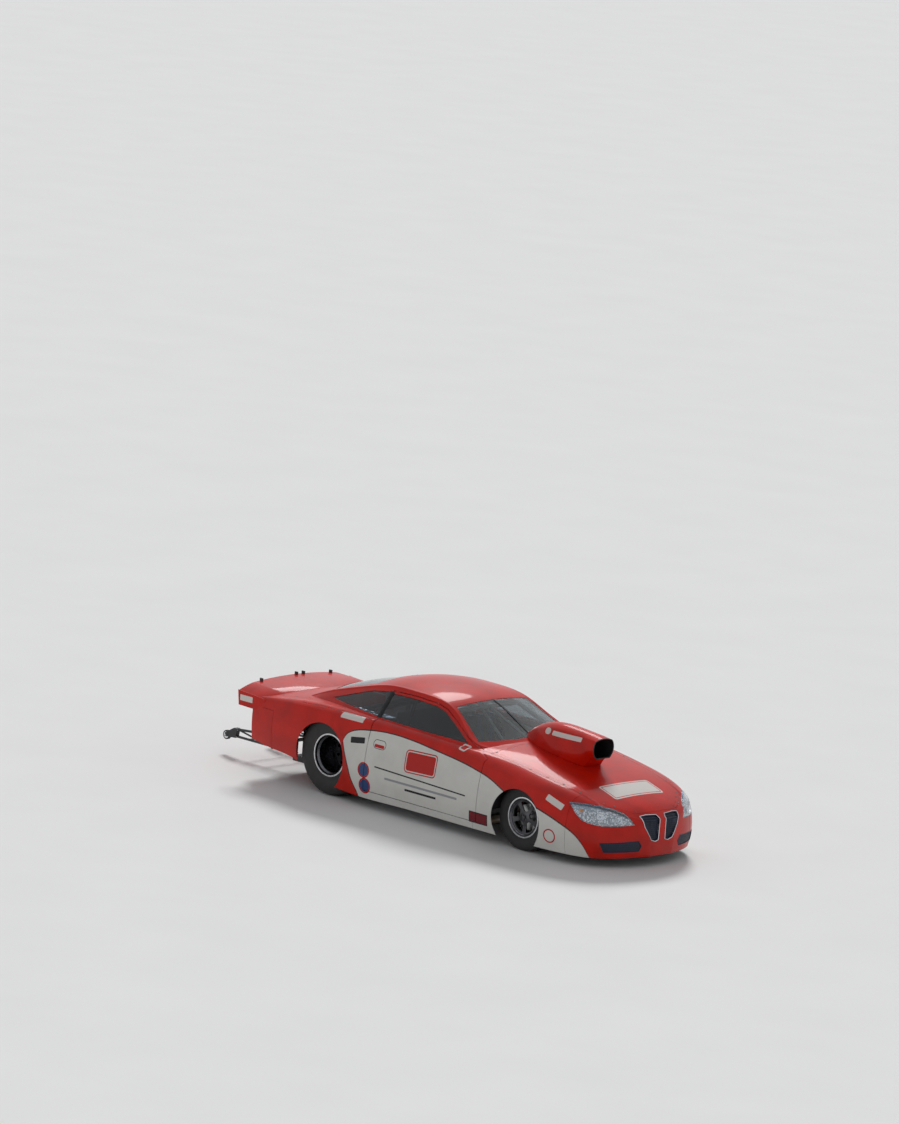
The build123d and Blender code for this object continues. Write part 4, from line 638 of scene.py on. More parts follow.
# %% Outlines made into cutters
def grown(points, margin):
    """A closed outline moved outwards by a margin, with mitred corners."""
    spots = [Vector(p) for p in points]
    area = sum(a.x * b.y - b.x * a.y for a, b in zip(spots, spots[1:] + spots[:1]))
    sign = 1 if area > 0 else -1
    out = []
    for before, here, after in zip(spots[-1:] + spots[:-1], spots, spots[1:] + spots[:1]):
        first, second = (here - before).normalized(), (after - here).normalized()
        one, two = Vector((first.y, -first.x)) * sign, Vector((second.y, -second.x)) * sign
        mitre = (one + two) / max(1 + one.dot(two), 0.3)
        out.append(here + mitre * margin)
    return [tuple(p) for p in out]


def prism(points, axis, low, high, margin=0.0):
    """A closed prism from an outline in millimetres: (x, z) along y, (x, y) along z, or (y, z) along x."""
    flat = grown([(a * 0.001, b * 0.001) for a, b in points], margin)
    count = len(flat)
    spots = [{"x": (c, a, b), "y": (a, c, b), "z": (a, b, c)}[axis] for c in (low, high) for a, b in flat]
    faces = [tuple(range(count)), tuple(range(count, 2 * count))]
    faces += [(i, (i + 1) % count, (i + 1) % count + count, i + count) for i in range(count)]
    return outward(new_object("cutter", spots, faces))


def brick(x_low, x_high, y_low, y_high, z_low, z_high):
    """A rectangular cutter, in metres."""
    corners = ((x_low, y_low), (x_high, y_low), (x_high, y_high), (x_low, y_high))
    return prism([(x * 1000, y * 1000) for x, y in corners], "z", z_low, z_high)


def drum(centre, radius, axis, half_length, sides=64):
    """A round cutter about an axis through a centre."""
    work = bmesh.new()
    turn = Vector((0, 0, 1)).rotation_difference(Vector(axis)).to_matrix().to_4x4()
    bmesh.ops.create_cone(work, cap_ends=True, segments=sides, radius1=radius, radius2=radius,
                          depth=2 * half_length, matrix=Matrix.Translation(centre) @ turn)
    mesh = bpy.data.meshes.new("cutter")
    work.to_mesh(mesh)
    work.free()
    made = bpy.data.objects.new("cutter", mesh)
    scene.collection.objects.link(made)
    return made


# %% [markdown]
# Every finished piece goes through the same last steps: smooth shading with its edges kept sharp, a finish,
# the CAD body that it moves with, and the CAD pieces that it stands for. Pieces of the right-hand side are
# dressed together with their mirror images, so that the two sides stay alike.

# %% Shading and dressing a piece
def shade(piece, degrees=32):
    """Smooth faces with sharp edges kept where the surface turns by more than an angle."""
    piece.data.polygons.foreach_set("use_smooth", [True] * len(piece.data.polygons))
    piece.data.set_sharp_from_angle(angle=math.radians(degrees))
    return piece


def mirrored(piece, name):
    """A mirror image on the other side of the car."""
    made = copy_of(piece, name)
    made.data.transform(Matrix.Scale(-1, 4, (0, 1, 0)))
    made.data.flip_normals()
    return made


DRESSED = set()


def dress(piece, finish, body, *cad_nodes, slot=None):
    """Gives a piece its finish, its CAD body and the CAD nodes that it stands for."""
    DRESSED.add(piece.name)
    piece.data.materials.clear()
    piece.data.materials.append(FINISHES[finish])
    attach(piece, body)
    if cad_nodes:
        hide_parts(*cad_nodes)
    return piece


def dress_pair(piece, finish, body, *cad_nodes, slot=None):
    """Dresses a piece of the right-hand side, and its mirror image on the left."""
    dress(piece, finish, body, *cad_nodes, slot=slot)
    body, *cad_nodes = (name.replace("right", "left") for name in (body, *cad_nodes))
    dress(mirrored(piece, piece.name.replace("right", "left")), finish, body, *cad_nodes, slot=slot)


def joined(name, pieces):
    """Several meshes as one object, parts left separate inside it."""
    work = bmesh.new()
    for piece in pieces:
        work.from_mesh(piece.data)
    made = new_object(name, [], [])
    work.to_mesh(made.data)
    work.free()
    discard(*pieces)
    return made


def assembled(name, pieces, finish, body, *cad_nodes, slot=None, degrees=32):
    """Small pieces joined, shaded and dressed as one."""
    return dress(shade(joined(name, pieces), degrees), finish, body, *cad_nodes, slot=slot)


# %% [markdown]
# The seams and openings are outlines in millimetres, seen from the side, from above or from the front. Each
# panel is the skin inside its outline, less whatever is let into it. A margin of a few millimetres round
# each cut leaves the dark seam that the eye reads as a real joint between panels.

# %% Outlines of panels and windows
FENDER_REAR, NOSE_SEAM, DOOR_REAR, DECK_FRONT, SILL_TOP = 1215, 2390, -300, -1330, 175
DECK_HALF, BUMPER_TOP, BUMPER_FRONT = 655, 700, -1700
HOOD_EDGE = [
    (FENDER_REAR, 712), (1500, 705), (1950, 688), (2350, 640), (2480, 612),
    (2600, 550), (2670, 470), (2745, 385), (2795, 300), (2812, 190), (2822, 0),
]
HOOD_PLAN = HOOD_EDGE + [(x, -y) for x, y in reversed(HOOD_EDGE[:-1])]
DOOR_OUTLINE = [
    (1255, 181), (1255, 806), (985, 872), (470, 1122), (330, 1152), (50, 1166), (-290, 1160),
    (DOOR_REAR, 181),
]
DOOR_WINDOW = [(915, 880), (466, 1100), (328, 1130), (46, 1144), (-276, 1139), (-280, 906)]
DOOR_BELT = [(1400, 0), (1400, 760), (1255, 806), (985, 868), (-400, 908), (-400, 0)]
QUARTER_WINDOW = [(-326, 1148), (-326, 912), (-1095, 944), (-830, 1030), (-575, 1112)]
WINDSHIELD = [
    (975, 640), (740, 572), (515, 508), (528, 250), (532, 0), (528, -250), (515, -508),
    (740, -572), (975, -640), (1050, -455), (1100, -250), (1122, 0), (1100, 250), (1050, 455),
]
REAR_WINDOW = [
    (-640, 455), (-620, 230), (-615, 0), (-620, -230), (-640, -455), (-1180, -500),
    (-1210, -250), (-1218, 0), (-1210, 250), (-1180, 500),
]
BELT = [
    (FENDER_REAR, 700), (FENDER_REAR, 1400), (DECK_FRONT, 1400), (DECK_FRONT, 866),
    (-1060, 882), (DOOR_REAR, 882), (DOOR_REAR, 700),
]
HEADLIGHT = [
    (2367, -787, 604), (2488, -709, 608), (2602, -601, 592), (2690, -509, 568),
    (2775, -440, 532), (2849, -430, 489), (2890, -410, 427), (2804, -557, 414),
    (2692, -679, 415), (2592, -744, 434), (2527, -772, 455), (2452, -788, 517),
]
GRILLE = [
    (-268, 503), (-190, 510), (-60, 505), (-44, 480), (-44, 400), (-48, 262), (-90, 250), (-150, 268),
    (-235, 400),
]
INTAKE = [(-672, 250), (-300, 268), (-262, 215), (-290, 165), (-630, 158)]
TAIL_LIGHT = [(-700, 585), (-380, 600), (-380, 668), (-690, 668)]
SCOOP = [
    # x,  foot y, z,  wide y, z,  edge y, z,  top z
    (2050, 97, 890, 149, 980, 121, 1069, 1093),
    (1990, 108, 872, 158, 976, 124, 1076, 1104),
    (1900, 125, 770, 168, 960, 124, 1082, 1116),
    (1700, 170, 760, 190, 940, 132, 1094, 1134),
    (1450, 180, 780, 182, 950, 128, 1092, 1138),
    (1250, 140, 800, 140, 930, 95, 1045, 1088),
    (1060, 60, 850, 52, 905, 30, 952, 966),
]
# Wheel arches: x, z and radius, and the height where the lip round the edge ends, in metres.
ARCHES = [(1.776, 0.300, 0.318, 0.112), (-0.944, 0.386, 0.349, 0.19)]
SEAM, DOOR_SEAM = 0.003, 0.006
# How far the cutters reach: over the roof, over the hood, and through the right-hand side.
OVER_ROOF, OVER_HOOD, RIGHT_SIDE = (0.85, 1.3), (0.38, 1.3), (-1.0, -0.4)
GRILLE_REACH, INTAKE_REACH = (2.74, 3.0), (2.64, 3.0)
print("hood and door outline points:", len(HOOD_PLAN), len(DOOR_OUTLINE))


def doubled(cutter):
    """A right-hand cutter and its mirror image in one mesh."""
    return combine(copy_of(cutter, "cutter"), "UNION", mirrored(cutter, "cutter"))


def lamp_cutter(margin):
    """A cutter square to the corner of the nose, for the right headlight."""
    across, out = Vector((523, 377, 0)).normalized(), Vector((377, -523, 0)).normalized()
    origin = Vector((2628, -598, 500))
    flat = [((Vector(p) - origin).dot(across), p[2] - 500) for p in HEADLIGHT]
    made = prism(flat, "z", -0.20, 0.25, margin)
    turn = Matrix((across, Vector((0, 0, 1)), out)).transposed().to_4x4()
    made.data.transform(Matrix.Translation(origin * 0.001) @ turn)
    return outward(made)


# %% Body shell
SKIN_WALL = 0.004
outer = whole_body(0, 260, 200)
skin = combine(copy_of(outer, "skin"), "DIFFERENCE", whole_body(SKIN_WALL, 200, 150))
print("skin faces:", len(skin.data.polygons))

# %% Cutters shared by several panels
hood_column = prism(HOOD_PLAN, "z", *OVER_HOOD)
hood_hole = prism(HOOD_PLAN, "z", *OVER_HOOD, SEAM)
door_hole = prism(DOOR_OUTLINE, "y", *RIGHT_SIDE, DOOR_SEAM)
lamp_hole = lamp_cutter(0.0015)
lamp_holes = doubled(lamp_hole)
front_arches, rear_arches = (drum((x, 0, z), radius, (0, 1, 0), 1.0, 128) for x, z, radius, low in ARCHES)
grille_holes = doubled(prism(GRILLE, "x", *GRILLE_REACH))
belt_block, belt_gap = (prism(BELT, "y", -1, 1, margin) for margin in (0, SEAM))
deck_block, deck_gap = (brick(-2.1, DECK_FRONT * 0.001 + gap, -DECK_HALF * 0.001 - gap,
                              DECK_HALF * 0.001 + gap, BUMPER_TOP * 0.001 - gap, 1.3) for gap in (0, SEAM))
bumper_block, bumper_gap = (brick(-2.1, BUMPER_FRONT * 0.001 + gap, -1, 1, 0, BUMPER_TOP * 0.001 + gap)
                            for gap in (0, SEAM))
# The seams that run across the car, in metres, and half of the gap at each.
NOSE_X, FENDER_X, DOOR_X, HALF_SEAM = NOSE_SEAM * 0.001, FENDER_REAR * 0.001, DOOR_REAR * 0.001, SEAM / 2
print("seams at x:", NOSE_X, FENDER_X, DOOR_X)


def panel(name, keep, cut, *cad_nodes, slot="red_paint"):
    """A body panel: the skin inside some cutters, less others, painted; a right-hand one is mirrored too."""
    made = combine(copy_of(skin, name), "INTERSECT", *keep)
    if cut:
        combine(made, "DIFFERENCE", *cut)
    (dress_pair if "right" in name else dress)(shade(made), "livery", "car_body", *cad_nodes, slot=slot)
    return made


# %% Nose, hood and fenders
nose = panel("nose_panel", [brick(NOSE_X + HALF_SEAM, 3, -1, 1, 0, 0.9)],
             [hood_hole, lamp_holes, grille_holes, doubled(prism(INTAKE, "x", *INTAKE_REACH))], "nose_cover")
hood = panel("hood_panel", [hood_column, brick(FENDER_X + SEAM, 3, -1, 1, 0.38, 1.0)],
             [lamp_holes, grille_holes, brick(1.290, 1.610, -0.11, 0.11, 0.7, 1.0)], "hood")
fender = panel("right_fender_panel", [brick(FENDER_X + HALF_SEAM, NOSE_X - HALF_SEAM, -1, 0, 0, 1)],
               [hood_hole, front_arches, door_hole, lamp_hole], "right_fender")
print("nose, hood and fenders:", [len(p.data.polygons) for p in (nose, hood, fender)])

# %% Roof, quarters, deck, bumper and sills
roof = panel("roof_panel", [belt_block],
             [doubled(door_hole), prism(WINDSHIELD, "z", *OVER_ROOF), prism(REAR_WINDOW, "z", *OVER_ROOF),
              doubled(prism(QUARTER_WINDOW, "y", *RIGHT_SIDE))], "roof_and_pillars")
quarter = panel("right_quarter_panel", [brick(-2.1, DOOR_X, -1, 0, 0, 1)],
                [belt_gap, deck_gap, bumper_gap, rear_arches, door_hole], "right_quarter")
deck = panel("deck_panel", [deck_block], [], "deck_lid")
bumper = panel("bumper_panel", [bumper_block], [doubled(prism(TAIL_LIGHT, "x", -2.1, -1.99))], "rear_bumper")
sill = panel("sill_panels", [brick(DOOR_X, FENDER_X - HALF_SEAM, -1, 1, 0, SILL_TOP * 0.001)], [], "sills",
             slot="white_paint")
print("rear panels:", [len(p.data.polygons) for p in (roof, quarter, deck, bumper, sill)])

# %% Doors
DOOR_WALL, WINDOW_FRAME_WALL = 0.036, 0.012
door_column = prism(DOOR_OUTLINE, "y", *RIGHT_SIDE)
door = combine(copy_of(outer, "right_door_panel"), "DIFFERENCE", whole_body(DOOR_WALL, 160, 120))
combine(door, "INTERSECT", door_column, prism(DOOR_BELT, "y", -1, 0))
door_frame = combine(copy_of(outer, "frame"), "DIFFERENCE", whole_body(WINDOW_FRAME_WALL, 160, 120))
combine(door, "UNION", combine(door_frame, "INTERSECT", door_column))
combine(door, "DIFFERENCE", prism(DOOR_WINDOW, "y", *RIGHT_SIDE))
dress_pair(shade(door), "livery", "right_door", "right_door", slot="white_paint")
print("door faces:", len(door.data.polygons))

# %% Windows
GLASS_OUT, GLASS_IN, GLASS_MARGIN = 0.003, 0.0075, -0.0004
pane = layer(CABIN, cabin_ring, GLASS_OUT, GLASS_IN, 200)
door_pane = prism(DOOR_WINDOW, "y", *RIGHT_SIDE, GLASS_MARGIN)
quarter_panes = doubled(prism(QUARTER_WINDOW, "y", *RIGHT_SIDE, GLASS_MARGIN))
PANES = [
    ("windshield", "car_body", "clear_glass", prism(WINDSHIELD, "z", *OVER_ROOF, GLASS_MARGIN)),
    ("rear_window", "car_body", "tinted_glass", prism(REAR_WINDOW, "z", *OVER_ROOF, GLASS_MARGIN)),
    ("quarter_windows", "car_body", "tinted_glass", quarter_panes),
    ("right_door_window", "right_door", "tinted_glass", door_pane),
    ("left_door_window", "left_door", "tinted_glass", mirrored(door_pane, "cutter")),
]
for pane_name, pane_body, tint, cutter in PANES:
    glass = combine(copy_of(pane, pane_name + "_glass"), "INTERSECT", cutter)
    dress(shade(glass), tint, pane_body, pane_name, slot="clear_glass")
print("panes:", len(PANES))

# %% [markdown]
# Wheels and tyres are turned shapes, so each starts as a half profile of (along the hub, radius) points.
# The corners are rounded with small arcs first, because a real tyre or rim has none that are sharp, and the
# rounded edges catch the light. The profile is then turned about the hub in many small steps.

# %% Turned shapes
def rounded(profile, radius, steps=4):
    """A closed profile with each corner replaced by a small arc."""
    out = []
    spots = [Vector(p) for p in profile]
    for before, here, after in zip(spots[-1:] + spots[:-1], spots, spots[1:] + spots[:1]):
        first, second = before - here, after - here
        reach = min(radius, first.length * 0.45, second.length * 0.45)
        start, end = here + first.normalized() * reach, here + second.normalized() * reach
        for i in range(steps + 1):
            t = i / steps
            out.append((1 - t) ** 2 * start + 2 * t * (1 - t) * here + t ** 2 * end)
    return [tuple(p) for p in out]


def turned(name, profile, centre, axis, count=96):
    """A closed (along, radius) profile, in millimetres, turned about an axis through a centre, in metres."""
    axis, centre = Vector(axis).normalized(), Vector(centre)
    side = axis.orthogonal().normalized()
    other = axis.cross(side)
    rings = []
    for i in range(count):
        angle = 2 * math.pi * i / count
        out = side * math.cos(angle) + other * math.sin(angle)
        rings.append([centre + axis * (a * 0.001) + out * (r * 0.001) for a, r in profile])
    size = len(profile)
    faces = []
    for i in range(count):
        j = (i + 1) % count
        for k in range(size):
            m = (k + 1) % size
            faces.append((i * size + k, i * size + m, j * size + m, j * size + k))
    return outward(new_object(name, [p for ring in rings for p in ring], faces))


def placed(piece, matrix):
    """Moves a piece's own points by a matrix."""
    piece.data.transform(matrix)
    return piece


def turn_about(centre, angle, axis):
    """The matrix of a turn about an axis through a centre."""
    centre = Vector(centre)
    return Matrix.Translation(centre) @ Matrix.Rotation(angle, 4, axis) @ Matrix.Translation(-centre)


def around(centre, axis, count, make, start=0.0):
    """Copies of a small piece at equal turns about an axis."""
    angles = [start + 2 * math.pi * i / count for i in range(count)]
    return [placed(make(), turn_about(centre, angle, Vector(axis))) for angle in angles]


def hexagon_bolt(spot, axis, across, height):
    """A hexagon head with a washer and a small domed end, standing on a face."""
    spot, axis = Vector(spot), Vector(axis).normalized()
    r = across * 500
    washer = turned("bolt", [(0, 0.01), (0, r * 1.25), (1.2, r * 1.25), (1.2, 0.01)], spot, axis, 20)
    head = [(0, 0.01), (0, r), (height * 850, r), (height * 1000, r * 0.8), (height * 1000, 0.01)]
    head = turned("bolt", head, spot, axis, 6)
    return joined("bolt", [washer, head])


# %% Wheel finishes
# Dark alloy; on the wheel discs and nuts its darkness is partly a real finish, partly painted shade.
FINISHES["dark_alloy_and_wheel_shade"] = worn_finish("dark_alloy_and_painted_wheel_shade", (0.05, 0.05, 0.055), (0.11, 0.11, 0.118),
                                     (0.25, 0.42), 0.9)
FINISHES["disc_steel"] = worn_finish("brake_disc_steel", (0.30, 0.30, 0.30), (0.46, 0.46, 0.46),
                                     (0.22, 0.4), 1.0, grain=180)


def tyre_finish(name, brown):
    """Black rubber, cloudy with dust and finely grained."""
    material, shader = start_finish(name, (0.02, 0.02, 0.02), 0.65)
    place = object_place(material)
    clouds, grains = noise(material, place, 11.0, 5.0), noise(material, place, 350.0, 2.0)
    colour = ramp(material, clouds, (0.3, (0.011, 0.011, 0.012)), (0.75, brown))
    link(material, colour, shader.inputs["Base Color"])
    link(material, spread(material, clouds, 0.5, 0.82), shader.inputs["Roughness"])
    bump(material, shader, grains, 0.0005)
    return material


def lip_and_shaded_barrel_finish(name, hub_x, hub_z, lip):
    """Polished at the rim's edge; further in, dark: partly a dark finish, partly painted shade in the wheel.
    """
    material, shader = start_finish(name, (0.6, 0.6, 0.6), 0.2, 1.0)
    place = object_place(material)
    x, y, z = add_node(material, "SeparateXYZ", {"Vector": place}).outputs
    flat = add_node(material, "CombineXYZ", {"X": x, "Y": z}).outputs[0]
    reach = vectors(material, "DISTANCE", flat, (hub_x, hub_z, 0), out=1)
    clouds = noise(material, place, 30.0, 4.0)
    # Painted shade, in part: the barrel inside the lip is dark where the wheel's hollow lies in shade.
    dark = ramp(material, clouds, (0.3, (0.08, 0.08, 0.09)), (0.7, (0.15, 0.15, 0.16)))
    light = ramp(material, clouds, (0.3, (0.50, 0.51, 0.52)), (0.7, (0.66, 0.67, 0.68)))
    edge = maths(material, "GREATER_THAN", reach, lip)
    link(material, blend_colours(material, edge, dark, light), shader.inputs["Base Color"])
    link(material, spread(material, clouds, 0.16, 0.34), shader.inputs["Roughness"])
    bump(material, shader, noise(material, place, 400.0, 2.0), 0.00004)
    return material


HUBS = {"front": (1.8, 0.755, 0.330), "rear": (-0.867, 0.630, 0.412)}
for place, lip_radius in (("front", 0.190), ("rear", 0.206)):
    x, y, z = HUBS[place]
    FINISHES[f"{place}_barrel"] = lip_and_shaded_barrel_finish(f"{place}_rim_alloy", x, z, lip_radius)
FINISHES["front_tyre"] = tyre_finish("front_tyre_rubber", (0.030, 0.029, 0.028))
FINISHES["rear_tyre"] = tyre_finish("slick_rubber", (0.040, 0.037, 0.034))
print("finishes:", len(FINISHES))

# %% Tyres
FRONT_TYRE = [
    (0, 330), (30, 329.5), (43, 326), (51, 316), (55.5, 300), (57, 284), (56.6, 262), (54, 240), (52.5, 224),
    (54, 214), (53, 207), (50, 203), (50, 192.2), (36, 192.2), (36, 212), (46, 250), (48, 285), (38, 314),
    (0, 318),
]
REAR_TYRE = [
    (0, 412), (120, 411.5), (160, 409.5), (182, 404), (198, 392), (208, 372), (213.5, 345), (215, 315),
    (213, 285), (209.5, 262), (207.5, 244), (209, 232), (207, 224), (203, 219), (203, 208.2), (182, 208.2),
    (182, 235), (194, 300), (192, 360), (165, 396), (0, 400),
]


def both_ways(profile):
    """A half profile from the middle outwards, made whole."""
    return profile + [(-a, r) for a, r in reversed(profile[1:-1])]


SIDES = ((-1, "right"), (1, "left"))
WHEELS = [(place, side, f"{name}_{place}", Vector((x, side * y, z)))
          for place, (x, y, z) in HUBS.items() for side, name in SIDES]
for place, side, wheel, centre in WHEELS:
    profile = both_ways(FRONT_TYRE if place == "front" else REAR_TYRE)
    tyre = turned(f"{wheel}_tyre_rubber", rounded(profile, 3.0, 2), centre, (0, 1, 0), 144)
    dress(shade(tyre, 40), f"{place}_tyre", f"{wheel}_wheel", f"{wheel}_tyre", slot="tyre_rubber")
print("tyres made:", len(WHEELS))

# %% [markdown]
# The front wheels are light cast ones with five spokes. The disc between hub and barrel is a turned shape
# too, and five wedge-shaped windows are cut out of it. The rear wheels are deep and wide, with a smaller
# disc far inside, round lightening holes, and a ring of small bolts on the outer lip that clamps the tyre's
# bead.

# %% Rims
FRONT_BARREL = [
    (-56, 203), (-51, 203), (-51, 191.5), (-40, 190), (-30, 172), (30, 172), (40, 190), (51, 191.5),
    (51, 203), (56, 203), (56, 184), (46, 179), (38, 167), (-38, 167), (-46, 179), (-56, 184),
]
FRONT_CENTRE = [
    (14, 0.1), (36, 0.1), (36, 38), (30, 48), (22, 92), (26, 150), (34, 169), (8, 169), (10, 150), (10, 92),
    (14, 48),
]
FRONT_CAP = [(30, 0.1), (52, 0.1), (52, 14), (46, 18), (30, 18)]
FRONT_BRAKE = [(-44, 36), (-44, 132), (-32, 132), (-32, 42), (16, 42), (16, 36)]
REAR_BARREL = [
    (-209, 220), (-204, 220), (-204, 207.5), (-178, 206), (-160, 184), (160, 184), (178, 206), (204, 207.5),
    (204, 220), (209, 220), (209, 200), (186, 196), (168, 178), (-168, 178), (-186, 196), (-209, 200),
]
REAR_CENTRE = [
    (-90, 0.1), (-52, 0.1), (-52, 46), (-60, 70), (-66, 128), (-58, 178), (-78, 178), (-84, 128), (-82, 70),
    (-90, 60),
]
REAR_CAP = [(-60, 0.1), (-30, 0.1), (-30, 30), (-36, 36), (-60, 36)]
REAR_BRAKE = [(-159, 20), (-159, 30), (-140, 36), (-140, 150), (-128, 150), (-128, 36), (-92, 36), (-92, 20)]


def spoke_window(centre, angle):
    """A rounded wedge that cuts one window between two spokes."""
    inside, outside, narrow, wide, depth = 62, 158, 0.34, 0.47, 0.08
    corners = [(radius * math.sin(turn), radius * math.cos(turn)) for radius, turn in (
        (inside, -narrow), (inside, narrow), (outside, wide), (outside, 0), (outside, -wide))]
    turn = Matrix.Translation(centre) @ Matrix.Rotation(angle, 4, "Y")
    return placed(prism(rounded(corners, 14, 4), "y", -depth, depth), turn)


def ring_of_bolts(centre, out, count, along, radius, across, height, start=0.0):
    """Bolts that face outwards, at a place along the hub and at a radius from it."""
    spot = centre + out * along + Vector((0, 0, radius))
    return around(centre, out, count, lambda: hexagon_bolt(spot, out, across, height), start)


for place, side, wheel, centre in WHEELS:
    body, out = f"{wheel}_wheel", Vector((0, side, 0))
    if place == "front":
        barrel = [turned("barrel", rounded(FRONT_BARREL, 2.5, 3), centre, out, 128)]
        disc = turned(f"{wheel}_rim_centre", rounded(FRONT_CENTRE, 3, 2), centre, out, 128)
        combine(disc, "DIFFERENCE", *[spoke_window(centre, 2 * math.pi * i / 5) for i in range(5)])
        nuts = ring_of_bolts(centre, out, 5, 0.036, 0.026, 0.012, 0.008, math.pi / 5)
        cap, brake = FRONT_CAP, FRONT_BRAKE
    else:
        barrel = [turned("barrel", rounded(REAR_BARREL, 3, 3), centre, out, 144)]
        barrel += ring_of_bolts(centre, out, 16, 0.2075, 0.2085, 0.008, 0.005)
        disc = turned(f"{wheel}_rim_centre", rounded(REAR_CENTRE, 4, 2), centre, out, 128)
        turns = [Matrix.Rotation(2 * math.pi * i / 10, 3, "Y") for i in range(10)]
        spots = [centre + turn @ Vector((0, -side * 0.07, 0.145)) for turn in turns]
        combine(disc, "DIFFERENCE", *[drum(spot, 0.017, (0, 1, 0), 0.05, 32) for spot in spots])
        nuts = ring_of_bolts(centre, out, 5, -0.053, 0.064, 0.024, 0.02)
        cap, brake = REAR_CAP, REAR_BRAKE
    nuts.append(turned("cap", rounded(cap, 2, 3), centre, out, 48))
    brake_disc = turned(f"{wheel}_brake_disc", brake, centre, out, 96)
    assembled(f"{wheel}_rim_barrel", barrel, f"{place}_barrel", body, f"{wheel}_rim", slot="rim_metal",
              degrees=40)
    # The disc and the nuts are dark partly as painted shade inside the wheel.
    dress(shade(disc, 30), "dark_alloy_and_wheel_shade", body, slot="rim_metal")
    assembled(f"{wheel}_rim_fixings", nuts, "dark_alloy_and_wheel_shade", body, slot="rim_metal", degrees=30)
    dress(shade(brake_disc, 30), "disc_steel", body, slot="rim_metal")
print("rims made:", len(WHEELS))

# %% [markdown]
# Trim follows the body: a lamp's border, a grille's bright rim or the edge of a wheel arch lies on the
# skin, not near it. A ray cast against the finished shell gives the place and the slope of the skin under
# each point of an outline, so the trim hugs the surface wherever it runs.

# %% Finding the skin
shell_tree = BVHTree.FromObject(outer, bpy.context.evaluated_depsgraph_get())
print("faces that rays can meet:", len(outer.data.polygons))


def on_skin(start, direction):
    """The first point of the body shell along a ray, and its outward normal."""
    return shell_tree.ray_cast(Vector(start), Vector(direction))[:2]


def dense(points, step, closed=True):
    """An outline divided into short steps."""
    spots = [Vector(p) for p in points]
    out = []
    for a, b in zip(spots, spots[1:] + spots[:1] if closed else spots[1:]):
        count = max(1, round((b - a).length / step))
        out += [a.lerp(b, i / count) for i in range(count)]
    return out if closed else out + [spots[-1]]


def tube(name, points, radius, closed=False, sides=10):
    """A round tube along points, as a mesh."""
    curve = bpy.data.curves.new(name, "CURVE")
    curve.dimensions = "3D"
    curve.bevel_depth, curve.bevel_resolution, curve.use_fill_caps = radius, sides // 4, True
    spline = curve.splines.new("POLY")
    spline.points.add(len(points) - 1)
    for point, spot in zip(spline.points, points):
        point.co = (*spot, 1)
    spline.use_cyclic_u = closed
    holder = bpy.data.objects.new(name, curve)
    scene.collection.objects.link(holder)
    graph = bpy.context.evaluated_depsgraph_get()
    mesh = bpy.data.meshes.new_from_object(holder.evaluated_get(graph))
    bpy.data.objects.remove(holder)
    bpy.data.curves.remove(curve)
    made = bpy.data.objects.new(name, mesh)
    scene.collection.objects.link(made)
    return made


# %% Lamp and grille finishes
def reflector_finish():
    """Facetted bright reflector of a headlamp, bluish towards its top."""
    material, shader = start_finish("lamp_reflector", (0.72, 0.75, 0.78), 0.22, 0.55)
    place = object_place(material)
    cells = add_node(material, "TexVoronoi", {"Vector": place, "Scale": 55.0})
    tone = ramp(material, cells.outputs["Distance"], (0.15, (0.90, 0.91, 0.92)), (0.6, (0.28, 0.31, 0.34)))
    height = add_node(material, "SeparateXYZ", {"Vector": place}).outputs["Z"]
    top = add_node(material, "MapRange", {0: height, 1: 0.54, 2: 0.60, 3: 0.0, 4: 0.75}).outputs[0]
    link(material, blend_colours(material, top, tone, (0.16, 0.28, 0.42, 1)), shader.inputs["Base Color"])
    bump(material, shader, cells.outputs["Distance"], 0.002)
    return material


FINISHES["reflector"] = reflector_finish()
FINISHES["amber"] = worn_finish("amber_lens", (0.55, 0.16, 0.02), (0.75, 0.28, 0.04), (0.1, 0.2), cloud=60)
FINISHES["bright_trim"] = worn_finish("bright_trim", (0.45, 0.48, 0.52), (0.66, 0.68, 0.70), (0.15, 0.3), 1.0)
FINISHES["dark_net"] = worn_finish("dark_net", (0.006, 0.010, 0.03), (0.014, 0.024, 0.055), (0.35, 0.5))
print("finishes:", len(FINISHES))

# %% Headlights
LENS_THICKNESS, BUCKET_DEPTH, BUCKET_WALL = 0.003, 0.020, 0.006
bucket_inner = body_solid(LOWER_BODY, lower_ring, BUCKET_DEPTH + BUCKET_WALL, 160)
lens_inner = body_solid(LOWER_BODY, lower_ring, LENS_THICKNESS, 200)
bucket_skin = combine(body_solid(LOWER_BODY, lower_ring, BUCKET_DEPTH, 160), "DIFFERENCE", bucket_inner)
lamp_area = brick(2.0, 3.0, -1.0, -0.2, 0, 0.9)
lens = combine(copy_of(outer, "right_headlight_lens"), "DIFFERENCE", lens_inner)
combine(lens, "INTERSECT", lamp_cutter(-0.0005), lamp_area)
wall = combine(copy_of(outer, "right_headlight_bucket"), "DIFFERENCE", bucket_inner)
combine(wall, "INTERSECT", lamp_cutter(-0.0008), lamp_area)
combine(wall, "DIFFERENCE", lamp_cutter(-0.006))
combine(wall, "UNION", combine(bucket_skin, "INTERSECT", lamp_cutter(-0.0008), lamp_area))
bowls = []
